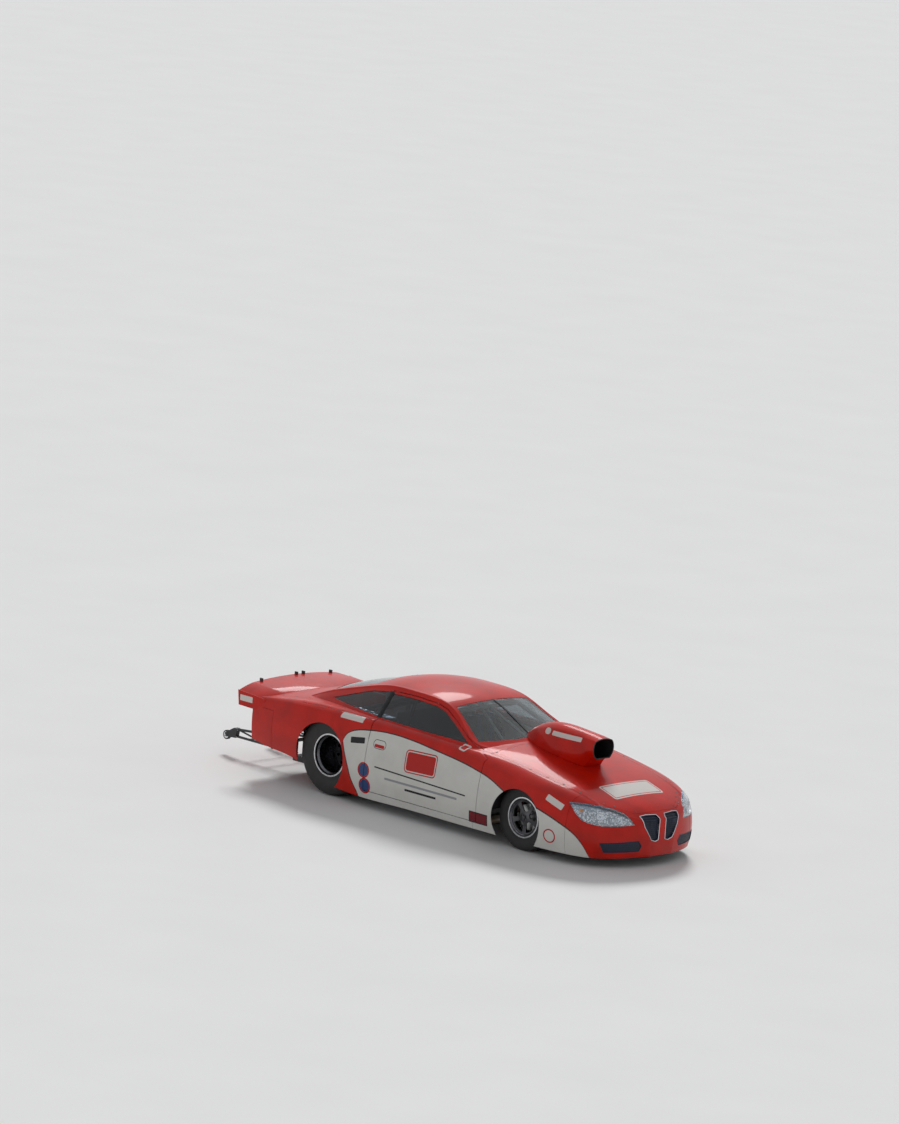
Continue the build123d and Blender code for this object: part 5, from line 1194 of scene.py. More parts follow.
for spot, size in (((2.770, -0.500, 0.476), 0.038), ((2.650, -0.640, 0.505), 0.043)):
    start, normal = on_skin(Vector(spot) + Vector((0.5, -0.6, 0.0)), Vector((-0.5, 0.6, 0.0)).normalized())
    centre = start - normal * 0.018
    r = size * 1000
    bowl = rounded([(0, 4), (8, r * 0.7), (15, r), (15, r - 3), (7, r * 0.62), (2, 4)], 1.0, 2)
    bowls.append(turned("bowl", bowl, centre, normal, 48))
    bulb = rounded([(1, 0.1), (1, 7), (9, 7), (12, 3), (12, 0.1)], 1, 2)
    bowls.append(turned("bulb", bulb, centre, normal, 24))
bowls = joined("right_headlight_bowls", bowls)
start, normal = on_skin((2.50, -1.5, 0.545), (0, 1, 0))
amber = turned("right_headlight_amber", rounded([(0, 0.1), (0, 19), (6, 17), (9, 9), (9, 0.1)], 3, 3),
               start - normal * 0.018, normal, 40)
for piece, finish in ((lens, "lens"), (wall, "reflector"), (bowls, "bright_trim"), (amber, "amber")):
    dress_pair(shade(piece), finish, "car_body", slot="lamp_lens")
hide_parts("headlights")
print("headlight lens faces:", len(lens.data.polygons))

# %% [markdown]
# The twin grille is an opening with a bright rim and a dark net behind it. The net is real geometry: two
# sets of thin bars, crossed, and cut to the outline a little below the skin.

# %% Grille and intakes
def net_bars(y_low, y_high, z_low, z_high, pitch, width, depth_low, depth_high):
    """Crossed bars that fill a region of the nose, seen from the front."""
    bars = []
    for i in range(int((y_high - y_low) / pitch) + 1):
        y = y_low + i * pitch
        bars.append(brick(depth_low, depth_high, y - width / 2, y + width / 2, z_low, z_high))
    for i in range(int((z_high - z_low) / pitch) + 1):
        z = z_low + i * pitch
        bars.append(brick(depth_low, depth_high, y_low, y_high, z - width / 2, z + width / 2))
    first = bars.pop()
    return combine(first, "UNION", *bars)


NET_PITCH, BAR_WIDTH, OPENING_MARGIN = 0.020, 0.0035, -0.0005
bars = net_bars(-0.66, -0.03, 0.14, 0.53, NET_PITCH, BAR_WIDTH, 2.60, 3.0)
openings = combine(prism(GRILLE, "x", *GRILLE_REACH, OPENING_MARGIN), "UNION",
                   prism(INTAKE, "x", *INTAKE_REACH, OPENING_MARGIN))
net = combine(layer(LOWER_BODY, lower_ring, 0.010, 0.014, 160), "INTERSECT", bars, openings)
net.name = "right_grille_net"
backing = combine(layer(LOWER_BODY, lower_ring, 0.022, 0.026, 160), "INTERSECT", openings)
backing.name = "right_grille_duct"
rims = []
for rim_name, outline, radius in (("right_grille_rim", GRILLE, 0.0045), ("right_intake_rim", INTAKE, 0.003)):
    spots = dense([(3.5, a * 0.001, b * 0.001) for a, b in outline], 0.012)
    rims.append(tube(rim_name, [on_skin(spot, (-1, 0, 0))[0] for spot in spots], radius, closed=True))
for piece, finish in zip((net, backing, *rims), ("dark_net", "dark_net", "bright_trim", "dark_net")):
    dress_pair(shade(piece), finish, "car_body", slot="grille_mesh")
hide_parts("grilles")
print("grilles made:", len(net.data.polygons))

# %% [markdown]
# The hood scoop is a moulded teardrop with an open mouth. It is skinned through oval sections like the
# body, then hollowed with a second, smaller skin that runs out through the mouth, and its foot is trimmed
# by the hood.

# %% Hood scoop
def scoop_ring(row, wall):
    """One section of the scoop as (y, z) points."""
    x, foot, z_foot, wide, z_wide, edge, z_edge, top = row
    foot, z_foot, wide, edge = foot - wall, z_foot + wall, wide - wall, edge - wall
    z_edge, top = z_edge - 0.6 * wall, top - wall
    return ring_of_arcs((foot, z_foot), [((wide, z_wide), (edge, z_edge))], top, (10, 20, 24))


SCOOP_WALL = 0.008
SCOOP_MOUTH = (2080, 97, 894, 148, 981, 121, 1068, 1091)
scoop_rows = smooth_rows(SCOOP, 120)
scoop = skinned("hood_scoop_shell", scoop_rows[:, 0], [scoop_ring(row, 0) for row in scoop_rows])
inside_rows = smooth_rows([SCOOP_MOUTH] + SCOOP[1:6], 100)
hollow = skinned("hollow", inside_rows[:, 0], [scoop_ring(row, SCOOP_WALL) for row in inside_rows])
under_hood = body_solid(LOWER_BODY, lower_ring, -0.0005, 160)
combine(scoop, "DIFFERENCE", hollow, under_hood)
dress(shade(scoop), "livery", "car_body", "hood_scoop", slot="red_paint")
mouth = [(scoop_rows[0, 0] - 0.001, y, z) for y, z in scoop_ring(scoop_rows[0], SCOOP_WALL / 2)]
scoop_lip = tube("hood_scoop_lip", mouth, 0.0055, closed=True)
dress(shade(scoop_lip), "black_paint", "car_body")
print("scoop faces:", len(scoop.data.polygons))

# %% [markdown]
# The rear wing is a wide arched tray that carries the line of the deck backwards, with an upright plate at
# each end and adjusters along its trailing edge.

# %% Rear spoiler
SPOILER = [
    # x, end z, knee z, middle z, depth, in millimetres
    (-1690, 700, 790, 872, 30),
    (-1790, 745, 826, 886, 34),
    (-1900, 778, 852, 896, 22),
    (-2080, 795, 864, 901, 13),
    (-2262, 803, 868, 903, 8),
]
SPOILER_HALF, SPOILER_KNEE = 0.800, 0.600


def tray_ring(row):
    """One section of the spoiler tray."""
    x, z_end, z_knee, z_mid, depth = row
    end, knee = (SPOILER_HALF, z_end), (SPOILER_KNEE, z_knee)
    droop = ((end[0] + knee[0]) / 2, z_end + 0.58 * (z_knee - z_end))
    top = arc((-end[0], end[1]), (-droop[0], droop[1]), (-knee[0], knee[1]), 14)
    top += arc((-knee[0], knee[1]), (0, z_mid), knee, 50)
    top += arc(knee, droop, end, 14) + [end]
    return top + [(y, z - depth) for y, z in reversed(top)]


tray_rows = smooth_rows(SPOILER, 60)
tray = skinned("rear_spoiler_tray", tray_rows[:, 0], [tray_ring(row) for row in tray_rows])
combine(tray, "DIFFERENCE", under_hood)
dress(shade(tray), "livery", "car_body", "rear_spoiler", slot="red_paint")
END_PLATE = [(-1860, 784), (-2262, 813), (-2240, 660), (-1915, 652)]
plates = [prism(END_PLATE, "y", low, high) for low, high in ((-0.806, -0.799), (0.799, 0.806))]
assembled("rear_spoiler_end_plates", plates, "livery", "car_body", slot="red_paint")
adjusters = []
for y in (-0.5, 0.0, 0.1, 0.5):
    z = 0.903 - (y / 0.6) ** 2 * 0.035
    adjusters.append(brick(-2.262, -2.225, y - 0.008, y + 0.008, z - 0.004, z + 0.028))
    adjusters.append(hexagon_bolt((-2.243, y - 0.008, z + 0.016), (0, -1, 0), 0.010, 0.006))
assembled("rear_spoiler_adjusters", adjusters, "black_paint", "car_body")
print("spoiler faces:", len(tray.data.polygons))

# %% [markdown]
# The air inlet is painted red outside. A second thin shell lies inside the first, open at both ends, and
# takes a dark finish: partly the inlet's own dark lining, partly painted shade inside the mouth. Behind it,
# under the hood's opening, stand the two carburettors.

# %% Scoop liner
LINER_GAP, LINER_WALL = 0.0004, 0.0019
liner = skinned("hood_scoop_shade_liner", inside_rows[:, 0],
                [scoop_ring(row, SCOOP_WALL - LINER_GAP) for row in inside_rows])
long_rows = inside_rows.copy()
long_rows[0, 0] += 0.05
long_rows[-1, 0] -= 0.05
core = skinned("core", long_rows[:, 0],
               [scoop_ring(row, SCOOP_WALL - LINER_GAP + LINER_WALL) for row in long_rows])
combine(liner, "INTERSECT", brick(1.26, 2.0485, -0.3, 0.3, 0.7, 1.2))
combine(liner, "DIFFERENCE", core, under_hood)
# Painted shade, in part: the black liner darkens the inside of the mouth.
dress(shade(liner), "black_paint", "car_body")
print("liner faces:", len(liner.data.polygons))

# %% Carburettors and manifold
def boxy(x, y, z, long, wide, high):
    """A block by its middle and its three sizes, with softened edges."""
    block = brick(x - long / 2, x + long / 2, y - wide / 2, y + wide / 2, z - high / 2, z + high / 2)
    step = block.modifiers.new("edge", "BEVEL")
    step.width, step.segments = min(long, wide, high) * 0.12, 2
    return baked(block)


carburettors = [boxy(1.450, 0, 0.835, 0.330, 0.190, 0.030)]
for x in (1.375, 1.535):
    carburettors.append(boxy(x, 0, 0.880, 0.125, 0.170, 0.060))
    for y in (-0.095, 0.095):
        carburettors.append(boxy(x, y, 0.868, 0.090, 0.030, 0.045))
    for dx in (-0.030, 0.030):
        for y in (-0.040, 0.040):
            ring_profile = rounded([(0, 21), (26, 25), (26, 29), (0, 29)], 1.5, 2)
            carburettors.append(turned("throat", ring_profile, (x + dx, y, 0.908), (0, 0, 1), 32))
assembled("carburettors", carburettors, "engine_metal", "car_body")
print("carburettor parts:", len(carburettors))

# %% [markdown]
# The engine is one plain block in the CAD model. Its covers, bolts and pulleys are what make it read
# as an engine from below and through the wheel arches, so they are added as separate castings on that
# block.

# %% Engine castings
COVER_TILT, PULLEY_X = 0.93, 1.705
covers, cover_bolts = [], []
for side in (-1, 1):
    lean = turn_about((1.415, side * 0.292, 0.602), side * -COVER_TILT, "X")
    cover = [boxy(1.415, side * 0.292, 0.612, 0.500, 0.100, 0.040)]
    for i in range(9):
        cover.append(boxy(1.415, side * (0.256 + 0.009 * i), 0.634, 0.440, 0.003, 0.008))
    covers += [placed(piece, lean) for piece in cover]
    for i in range(6):
        for edge in (-0.043, 0.043):
            bolt = hexagon_bolt((1.190 + 0.090 * i, side * 0.292 + edge, 0.6325), (0, 0, 1), 0.010, 0.007)
            cover_bolts.append(placed(bolt, lean))
for i in range(8):
    for side in (-1, 1):
        cover_bolts.append(hexagon_bolt((1.170 + 0.070 * i, side * 0.140, 0.1848), (0, 0, -1), 0.011, 0.007))
for y, z, r in ((0, 0.330, 80), (0, 0.560, 62), (-0.150, 0.470, 45)):
    pulley = rounded([(-10, 8), (-10, r), (-4, r - 5), (4, r - 5), (10, r), (10, 8)], 1.5, 2)
    cover_bolts.append(turned("pulley", pulley, (PULLEY_X + 0.052 * (z < 0.4), y, z), (1, 0, 0), 48))
assembled("engine_rocker_covers", covers, "black_paint", "car_body")
assembled("engine_bolts", cover_bolts, "link_steel", "car_body")
print("engine castings:", len(covers), "bolts and pulleys:", len(cover_bolts))

# %% [markdown]
# The seat is a moulded shell with cloth pads, and a five-strap harness lies over it. A pad is a closed
# crowned form: flat where it lies on the shell, swollen in its middle, pinched at its sewn channels. The
# form starts as a cube whose points are pulled onto a rounded box, which gives even faces all over for the
# fine swelling.

# %% Cloth and webbing finishes
def cloth_finish(name, dark, light, threads, sheen=0.25):
    """Woven cloth: crossed threads that show in its relief, with faded patches."""
    material, shader = start_finish(name, light, 0.85, 0.0, Sheen_Weight=sheen, Sheen_Roughness=0.5)
    place = object_place(material)
    bands = [add_node(material, "TexWave", {"Vector": place, "Scale": threads, "Distortion": 0.6},
                      bands_direction=way).outputs["Fac"] for way in ("X", "Y", "Z")]
    weave = maths(material, "MULTIPLY", maths(material, "ADD", bands[0], bands[2]), bands[1])
    clouds = noise(material, place, 12.0, 4.0)
    tone = maths(material, "ADD", maths(material, "MULTIPLY", weave, 0.25), clouds)
    link(material, ramp(material, tone, (0.35, dark), (0.85, light)), shader.inputs["Base Color"])
    link(material, spread(material, clouds, 0.75, 0.95), shader.inputs["Roughness"])
    bump(material, shader, weave, 0.0006)
    return material


FINISHES["seat_cloth"] = cloth_finish("seat_pad_cloth", (0.012, 0.012, 0.014), (0.045, 0.045, 0.05), 180)
FINISHES["webbing"] = cloth_finish("harness_webbing", (0.02, 0.04, 0.14), (0.04, 0.08, 0.26), 220, 0.1)
FINISHES["chute_cloth"] = cloth_finish("parachute_bag_cloth", (0.012, 0.012, 0.014), (0.05, 0.05, 0.056), 150)
FINISHES["red_webbing"] = cloth_finish("red_webbing", (0.20, 0.01, 0.008), (0.42, 0.02, 0.014), 220, 0.1)
print("finishes:", len(FINISHES))

# %% Padded forms
def crowned(name, low, high, power, pinch=None, cuts=40):
    """A closed soft form that fills a box from its low to its high corner; pinch moves its points."""
    low, high = Vector(low), Vector(high)
    middle, half = (low + high) / 2, (high - low) / 2
    work = bmesh.new()
    bmesh.ops.create_cube(work, size=2)
    bmesh.ops.subdivide_edges(work, edges=work.edges[:], cuts=cuts, use_grid_fill=True)
    for vertex in work.verts:
        p = vertex.co
        p /= sum(abs(c) ** power for c in p) ** (1 / power)
        if pinch:
            p *= pinch(p)
        vertex.co = middle + Vector((p.x * half.x, p.y * half.y, p.z * half.z))
    made = new_object(name, [], [])
    work.to_mesh(made.data)
    work.free()
    return shade(made, 60)


def channel(value, spots, width):
    """How deep a sewn channel is at a value, from 0 away from it to 1 on it."""
    return max(math.exp(-((value - spot) / width) ** 2) for spot in spots)


def framed(origin, along, outwards):
    """The place of a piece whose x runs along a direction and whose z points outwards."""
    x = Vector(along).normalized()
    z = Vector(outwards)
    z = (z - x * z.dot(x)).normalized()
    return Matrix.Translation(origin) @ Matrix((x, z.cross(x), z)).transposed().to_4x4()


SEAT_Y = 0.370
base_pad = crowned("seat_base_pad", (-0.128, -0.150, 0.0), (0.128, 0.150, 0.030), 5.0,
                   lambda p: 1 - 0.16 * channel(p.x, (-0.5, 0.0, 0.5), 0.035) * (p.z > 0))
placed(base_pad, framed((0.336, SEAT_Y, 0.2735), (0.268, 0, 0.040), (0, 0, 1)))
back_pad = crowned("seat_back_pad", (-0.270, -0.150, 0.0), (0.270, 0.150, 0.034), 5.0,
                   lambda p: 1 - 0.16 * channel(p.x, (-0.66, -0.33, 0.0, 0.33, 0.66), 0.022) * (p.z > 0))
placed(back_pad, framed((0.1068, SEAT_Y, 0.600), (-0.092, 0, 0.610), (1, 0, 0)))
for pad in (base_pad, back_pad):
    dress(pad, "seat_cloth", "car_body", slot="seat_shell")
print("back pad from", [round(v, 3) for v in back_pad.bound_box[0]], "to",
      [round(v, 3) for v in back_pad.bound_box[6]])

# %% [markdown]
# A harness strap is flat webbing, so it is modelled directly: a thin ribbon that follows a short run of
# points with its width held across the car. Two shoulder straps come over the bar behind the seat, two lap
# straps come from its sides, and all end in a round buckle.

# %% Harness
def ribbon(name, points, across, width, thickness=0.0022):
    """A flat strap along points, its width held along a direction."""
    spots = [Vector(p) for p in points]
    fine = []
    for i in range(len(spots) - 1):
        before, here = spots[max(i - 1, 0)], spots[i]
        there, after = spots[i + 1], spots[min(i + 2, len(spots) - 1)]
        for k in range(6):
            t = k / 6
            fine.append(0.5 * (2 * here + (there - before) * t
                               + (2 * before - 5 * here + 4 * there - after) * t ** 2
                               + (3 * here - before - 3 * there + after) * t ** 3))
    fine.append(spots[-1])
    across = Vector(across).normalized()
    corners, faces = [], []
    for i, spot in enumerate(fine):
        ahead = (fine[min(i + 1, len(fine) - 1)] - fine[max(i - 1, 0)]).normalized()
        side = (across - ahead * across.dot(ahead)).normalized()
        out = side.cross(ahead)
        for a, b in ((-1, -1), (1, -1), (1, 1), (-1, 1)):
            corners.append(spot + side * (a * width / 2) + out * (b * thickness / 2))
    for i in range(len(fine) - 1):
        for k in range(4):
            m = (k + 1) % 4
            faces.append((4 * i + k, 4 * i + m, 4 * i + 4 + m, 4 * i + 4 + k))
    last = 4 * (len(fine) - 1)
    faces += [(0, 1, 2, 3), (last, last + 1, last + 2, last + 3)]
    return outward(new_object(name, corners, faces))


SHOULDER = [
    # x, y as a share of the strap's own place, z
    (-0.062, 1, 0.664), (0.000, 1, 0.860), (0.030, 1, 0.912), (0.078, 1, 0.906), (0.108, 1, 0.850),
    (0.170, 0.8, 0.560), (0.215, 0.35, 0.380), (0.262, 0.2, 0.335),
]
LAP = [(0.160, 0.158, 0.330), (0.190, 0.110, 0.325), (0.235, 0.060, 0.330), (0.268, 0.020, 0.332)]
MIDDLE = [(0.275, 0, 0.328), (0.340, 0, 0.318), (0.430, 0, 0.318), (0.475, 0, 0.300)]
STRAPS = [
    # the run of points, what its y is multiplied by, the direction of its width, its width
    (SHOULDER, -0.085, (0, 1, 0), 0.058), (SHOULDER, 0.085, (0, 1, 0), 0.058),
    (LAP, -1, (0.5, 0, 0.86), 0.050), (LAP, 1, (0.5, 0, 0.86), 0.050), (MIDDLE, 0, (0, 1, 0), 0.050),
]
straps = [ribbon("strap", [(x, SEAT_Y + y * reach, z) for x, y, z in run], across, width)
          for run, reach, across, width in STRAPS]
dress(joined("harness_straps", straps), "webbing", "car_body", slot="chute_fabric")
buckle = turned("harness_buckle", rounded([(-6, 0.1), (-6, 30), (4, 30), (9, 24), (9, 0.1)], 2, 3),
                (0.270, SEAT_Y, 0.338), (0.35, 0, 0.94), 48)
dress(shade(buckle), "link_steel", "car_body")
print("harness straps:", len(straps))

# %% [markdown]
# The parachute is packed in a cloth bag behind the bumper. Its four flaps are laced shut, so seams cross
# the bag's back face, two straps hold it to the bracket, and its corners are soft.

# %% Parachute pack
def bag_pinch(p):
    """Seams across the bag's back and the waist under each strap."""
    seams = (0.045 * channel(p.y, (0.0,), 0.035) + 0.035 * channel(p.z, (0.0,), 0.05)) * (p.x < -0.5)
    waist = 0.055 * channel(p.y, (-0.55, 0.55), 0.10)
    sag = 0.02 * math.sin(7 * p.y + 3 * p.z)
    return 1 - seams - waist - abs(sag)


pack = crowned("parachute_bag", (-2.234, -0.149, 0.431), (-2.056, 0.149, 0.629), 4.5, bag_pinch, 56)
dress(pack, "chute_cloth", "car_body", "parachute_pack", slot="chute_fabric")
bands = []
for y in (-0.082, 0.082):
    loop = []
    for i in range(41):
        angle = 2 * math.pi * (i % 40) / 40
        c, s = math.cos(angle), math.sin(angle)
        reach = (abs(c) ** 4.5 + abs(s) ** 4.5) ** (-1 / 4.5) * 0.955
        loop.append((-2.145 + 0.089 * reach * c, y, 0.530 + 0.099 * reach * s))
    bands.append(ribbon("band", loop, (0, 1, 0), 0.040, 0.003))
flap_tab = [(-2.228, -0.02, 0.585), (-2.236, 0.0, 0.560), (-2.228, 0.02, 0.535)]
bands.append(ribbon("band", flap_tab, (0, 0.3, 1), 0.02))
dress(joined("parachute_straps", bands), "red_webbing", "car_body", slot="chute_fabric")
print("points of the bag:", len(pack.data.vertices))

# %% [markdown]
# The dashboard carries five round gauges and a row of switches, and the steering wheel has a hub pad and
# screws. They are small turned shapes. Each gauge is a bezel, a dark face, a ring of marks and a pointer.

# %% Dashboard and steering wheel
FINISHES["gauge_face"] = worn_finish("gauge_face", (0.006, 0.006, 0.007), (0.014, 0.014, 0.015), (0.25, 0.4),
                                     cloud=60)
FINISHES["pointer"] = worn_finish("gauge_marks", (0.50, 0.49, 0.46), (0.68, 0.67, 0.63), (0.4, 0.6), cloud=60)
TO_DRIVER = (-1, 0, 0)
DASH_X, GAUGE_Z, SWITCH_Z = 0.930, 0.682, 0.684
SWITCH_NUT = rounded([(0, 2.4), (2, 9), (4, 9), (4, 0.1), (0, 0.1)], 0.8, 2)
SWITCH_LEVER = rounded([(0, 0.1), (0, 2.2), (18, 3.2), (18, 0.1)], 1, 2)
bezels, dials, marks = [], [], []
for y, r in ((0.520, 24), (0.450, 24), (0.370, 42), (0.290, 24), (0.225, 24)):
    centre = Vector((DASH_X, y, GAUGE_Z))
    bezel = rounded([(0, r - 3), (9, r - 3), (11, r), (9, r + 3), (0, r + 3)], 1, 3)
    bezels.append(turned("bezel", bezel, centre, TO_DRIVER, 48))
    dials.append(turned("dial", [(0, 0.1), (0, r - 2), (3, r - 2), (3, 0.1)], centre, TO_DRIVER, 40))
    for i in range(11):
        angle = math.radians(-135 + 27 * i)
        reach = (r - 7) * 0.001
        spot = centre + Vector((-0.0036, -math.sin(angle) * reach, math.cos(angle) * reach))
        marks.append(brick(spot.x - 0.0006, spot.x, spot.y - 0.0008, spot.y + 0.0008, spot.z - 0.0022,
                           spot.z + 0.0022))
    pointer = brick(-0.0006, 0.0006, -0.0011, 0.0011, 0, (r - 9) * 0.001)
    marks.append(placed(pointer, Matrix.Translation(centre + Vector((-0.0052, 0, 0)))
                        @ Matrix.Rotation(math.radians(40 + 900 * y), 4, "X")))
for i in range(6):
    y = 0.150 - 0.040 * i
    bezels.append(turned("switch", SWITCH_NUT, (DASH_X, y, SWITCH_Z), TO_DRIVER, 24))
    bezels.append(placed(turned("lever", SWITCH_LEVER, (0, 0, 0), (-1, 0, 0.35), 16),
                         Matrix.Translation((DASH_X - 0.003, y, SWITCH_Z))))
assembled("gauge_bezels", bezels, "bright_trim", "car_body", slot="link_steel")
assembled("gauge_faces", dials, "gauge_face", "car_body", slot="dash_plastic")
dress(joined("gauge_marks", marks), "pointer", "car_body", slot="white_paint")
COLUMN_TILT = math.radians(20)
wheel_centre = Vector((0.560, SEAT_Y, 0.640))
column_axis = Vector((math.cos(COLUMN_TILT), 0, -math.sin(COLUMN_TILT)))
PAD_FRONT = rounded([(-16, 0.1), (-16, 26), (-8, 36), (-4.2, 38), (-4.2, 0.1)], 2, 3)
PAD_BACK = rounded([(4.2, 12), (4.2, 30), (30, 24), (44, 24), (44, 12)], 2, 3)
hub_pad = [turned("hub", PAD_FRONT, wheel_centre, column_axis, 48)]
hub_pad += around(wheel_centre, column_axis, 6, lambda: hexagon_bolt(
    wheel_centre - column_axis * 0.0045 + Vector((0, 0.031, 0)), -column_axis, 0.008, 0.004))
hub_pad.append(turned("hub", PAD_BACK, wheel_centre, column_axis, 48))
assembled("steering_wheel_hub", hub_pad, "bright_trim", "steering_wheel", slot="link_steel")
print("gauges:", len(dials), "marks and pointers:", len(marks))

# %% [markdown]
# Coil springs sit round the struts and dampers, and are seen through the wheel arches and from below. A
# spring is a tube along a helix with its end turns closed up flat.

# %% Springs
def spring(name, x, y, low, high, radius, wire, turns):
    """An upright coil spring."""
    steps = turns * 24
    path = []
    for i in range(steps + 1):
        t = i / steps
        ease = min(max((t - 0.06) / 0.88, 0), 1)
        angle = 2 * math.pi * turns * t
        path.append((x + radius * math.cos(angle), y + radius * math.sin(angle), low + (high - low) * ease))
    return tube(name, path, wire, sides=12)


SPRINGS = [
    # x, y, low z, high z, radius, turns, then the radii of the seat below it in millimetres
    (1.8, 0.655, 0.445, 0.555, 0.030, 5, 20.5, 38),
    (-0.867, 0.250, 0.478, 0.628, 0.026, 7, 17.5, 34),
]
WIRE, SEAT_DROP = 0.0055, 0.012
springs = []
for side in (-1, 1):
    for x, y, low, high, radius, turns, bore, rim in SPRINGS:
        springs.append(spring("spring", x, side * y, low, high, radius, WIRE, turns))
        seat = rounded([(0, bore), (0, rim), (5, rim), (5, bore)], 1, 2)
        springs.append(turned("seat", seat, (x, side * y, low - SEAT_DROP), (0, 0, 1), 40))
FINISHES["spring_paint"] = worn_finish("spring_paint", (0.22, 0.012, 0.008), (0.36, 0.02, 0.012), (0.3, 0.45))
assembled("coil_springs", springs, "spring_paint", "car_body", slot="link_steel", degrees=50)
print("springs and their seats:", len(springs))

# %% [markdown]
# The hood, the deck lid and the nose lift off, so they are held by quarter-turn fasteners along their
# edges. The plastic windows are screwed to the body all round. Both are small turned heads that stand on
# the skin, one after another at even steps along an outline, each at the slope that the ray cast finds
# there.

# %% Fasteners along the seams
def heads_along(name, spots, ray, profile, sides=20):
    """Small turned heads on the skin, where rays from spots along a direction meet it."""
    heads = []
    for spot in spots:
        found, normal = on_skin(spot, ray)
        if found is not None:
            heads.append(turned("head", profile, found - normal * 0.0004, normal, sides))
    return joined(name, heads)


def stepped(outline, step, high, closed=False):
    """Places at even steps along an outline in millimetres, lifted to a height in metres."""
    return dense([(x * 0.001, y * 0.001, high) for x, y in outline], step, closed)


QUARTER_TURN = rounded([(0, 0.1), (0, 10.5), (1.0, 10.5), (1.6, 7.5), (1.2, 7.0), (1.2, 0.1)], 0.4, 2)
SCREW = rounded([(0, 0.1), (0, 4.6), (1.0, 4.4), (2.0, 2.6), (2.2, 0.1)], 0.5, 2)
INSET = 22
hood_edge = [(x - (18 if x > 2400 else 0), y - INSET) for x, y in HOOD_EDGE[:9]]
seam_spots = stepped(hood_edge, 0.26, 2.0)
seam_spots += stepped([(1232, 0), (1232, 640)], 0.2, 2.0)[1:]
seam_spots += stepped([(DECK_FRONT - 24, 0), (DECK_FRONT - 24, 600)], 0.19, 2.0)
seam_spots += stepped([(-1400, DECK_HALF - INSET), (-1960, DECK_HALF - INSET)], 0.17, 2.0)
seam_spots += [Vector((s.x, -s.y, s.z)) for s in seam_spots if abs(s.y) > 0.01]
fasteners = heads_along("quarter_turn_fasteners", seam_spots, (0, 0, -1), QUARTER_TURN, 24)
dress(shade(fasteners), "dark_alloy_and_wheel_shade", "car_body", slot="link_steel")
print("fasteners:", len(seam_spots))

# %% Screws round the windows
def border(points, margin, step, height, upright=False):
    """Places just outside a window's outline, at a height over the car or, for a side window, beside it."""
    out = grown([(a * 0.001, b * 0.001) for a, b in points], margin)
    return dense([(a, height, b) if upright else (a, b, height) for a, b in out], step)


def side_screws(name, points, margin, step, side):
    """Screws round a side window."""
    return heads_along(name, border(points, margin, step, side * 2.0, True), (0, -side, 0), SCREW, 12)


glass_screws = [heads_along("s", border(points, 0.012, 0.085, 2.0), (0, 0, -1), SCREW, 12)
                for points in (WINDSHIELD, REAR_WINDOW)]
glass_screws += [side_screws("s", QUARTER_WINDOW, 0.011, 0.075, side) for side in (-1, 1)]
assembled("window_screws", glass_screws, "black_paint", "car_body")
for side, name in SIDES:
    door_screws = side_screws(f"{name}_door_window_screws", DOOR_WINDOW, 0.010, 0.080, side)
    dress(shade(door_screws), "black_paint", f"{name}_door")
print("faces of one door's screws:", len(door_screws.data.polygons))

# %% [markdown]
# A rolled lip follows the edge of each wheel arch, and a slim brace runs down the middle of the windshield,
# which keeps the thin plastic from being sucked off at speed. Both are tubes whose points lie on the skin.

# %% Arch lips and windshield brace
lips = []
for centre_x, centre_z, radius, low in ARCHES:
    for side in (-1, 1):
        line = []
        for i in range(97):
            angle = math.pi * (-0.25 + 1.5 * i / 96)
            x, z = centre_x + radius * math.cos(angle), centre_z + radius * math.sin(angle)
            if z > low:
                found, normal = on_skin((x, side * 2.0, z), (0, -side, 0))
                if found is not None and abs(found.y) > 0.7:
                    line.append(found - normal * 0.002)
        lips.append(tube("lip", line, 0.0036, sides=12))
assembled("wheel_arch_lips", lips, "livery", "car_body", slot="red_paint", degrees=60)
brace = []
for i in range(26):
    found, normal = on_skin((1.112 - 0.573 * i / 25, 0, 2.0), (0, 0, -1))
    brace.append(found + normal * 0.001)
brace_strip = ribbon("windshield_brace", brace, (0, 1, 0), 0.018, 0.004)
dress(shade(brace_strip), "black_paint", "car_body")
print("arch lips:", len(lips))

# %% [markdown]
# Panels meet over a flange, so that no daylight shows through a seam. The strips lie just inside the skin,
# behind the seam of the rear bumper and behind the rear edge of each door.

# %% Flanges behind the seams
def flange(table, ring_of, depth, x, z_low, z_high):
    """A thin strip inside both flanks, behind a seam that runs up the body at one station."""
    shell = layer(table, ring_of, depth, depth + 0.002, 120)
    strip = brick(x - 0.017, x + 0.017, -1.0, 1.0, z_low, z_high)
    middle = brick(x - 0.1, x + 0.1, -0.52, 0.52, 0.0, 2.0)
    return combine(combine(shell, "INTERSECT", strip), "DIFFERENCE", middle)


flanges = [flange(LOWER_BODY, lower_ring, 0.0045, -1.700, 0.20, 0.95),
           flange(LOWER_BODY, lower_ring, 0.0380, -0.303, 0.20, 0.90),
           flange(CABIN, cabin_ring, 0.0135, -0.303, 0.88, 1.20)]
flanges = assembled("seam_flanges", flanges, "black_paint", "car_body")
print("flanges made:", len(flanges.data.polygons))

# %% [markdown]
# Each tail light is a red lens with moulded ribs, in a dark frame. The exhaust collectors have a clamp band
# and end in a rolled bead. The wheelie bar has bolted joints along it and a hub in each small wheel.

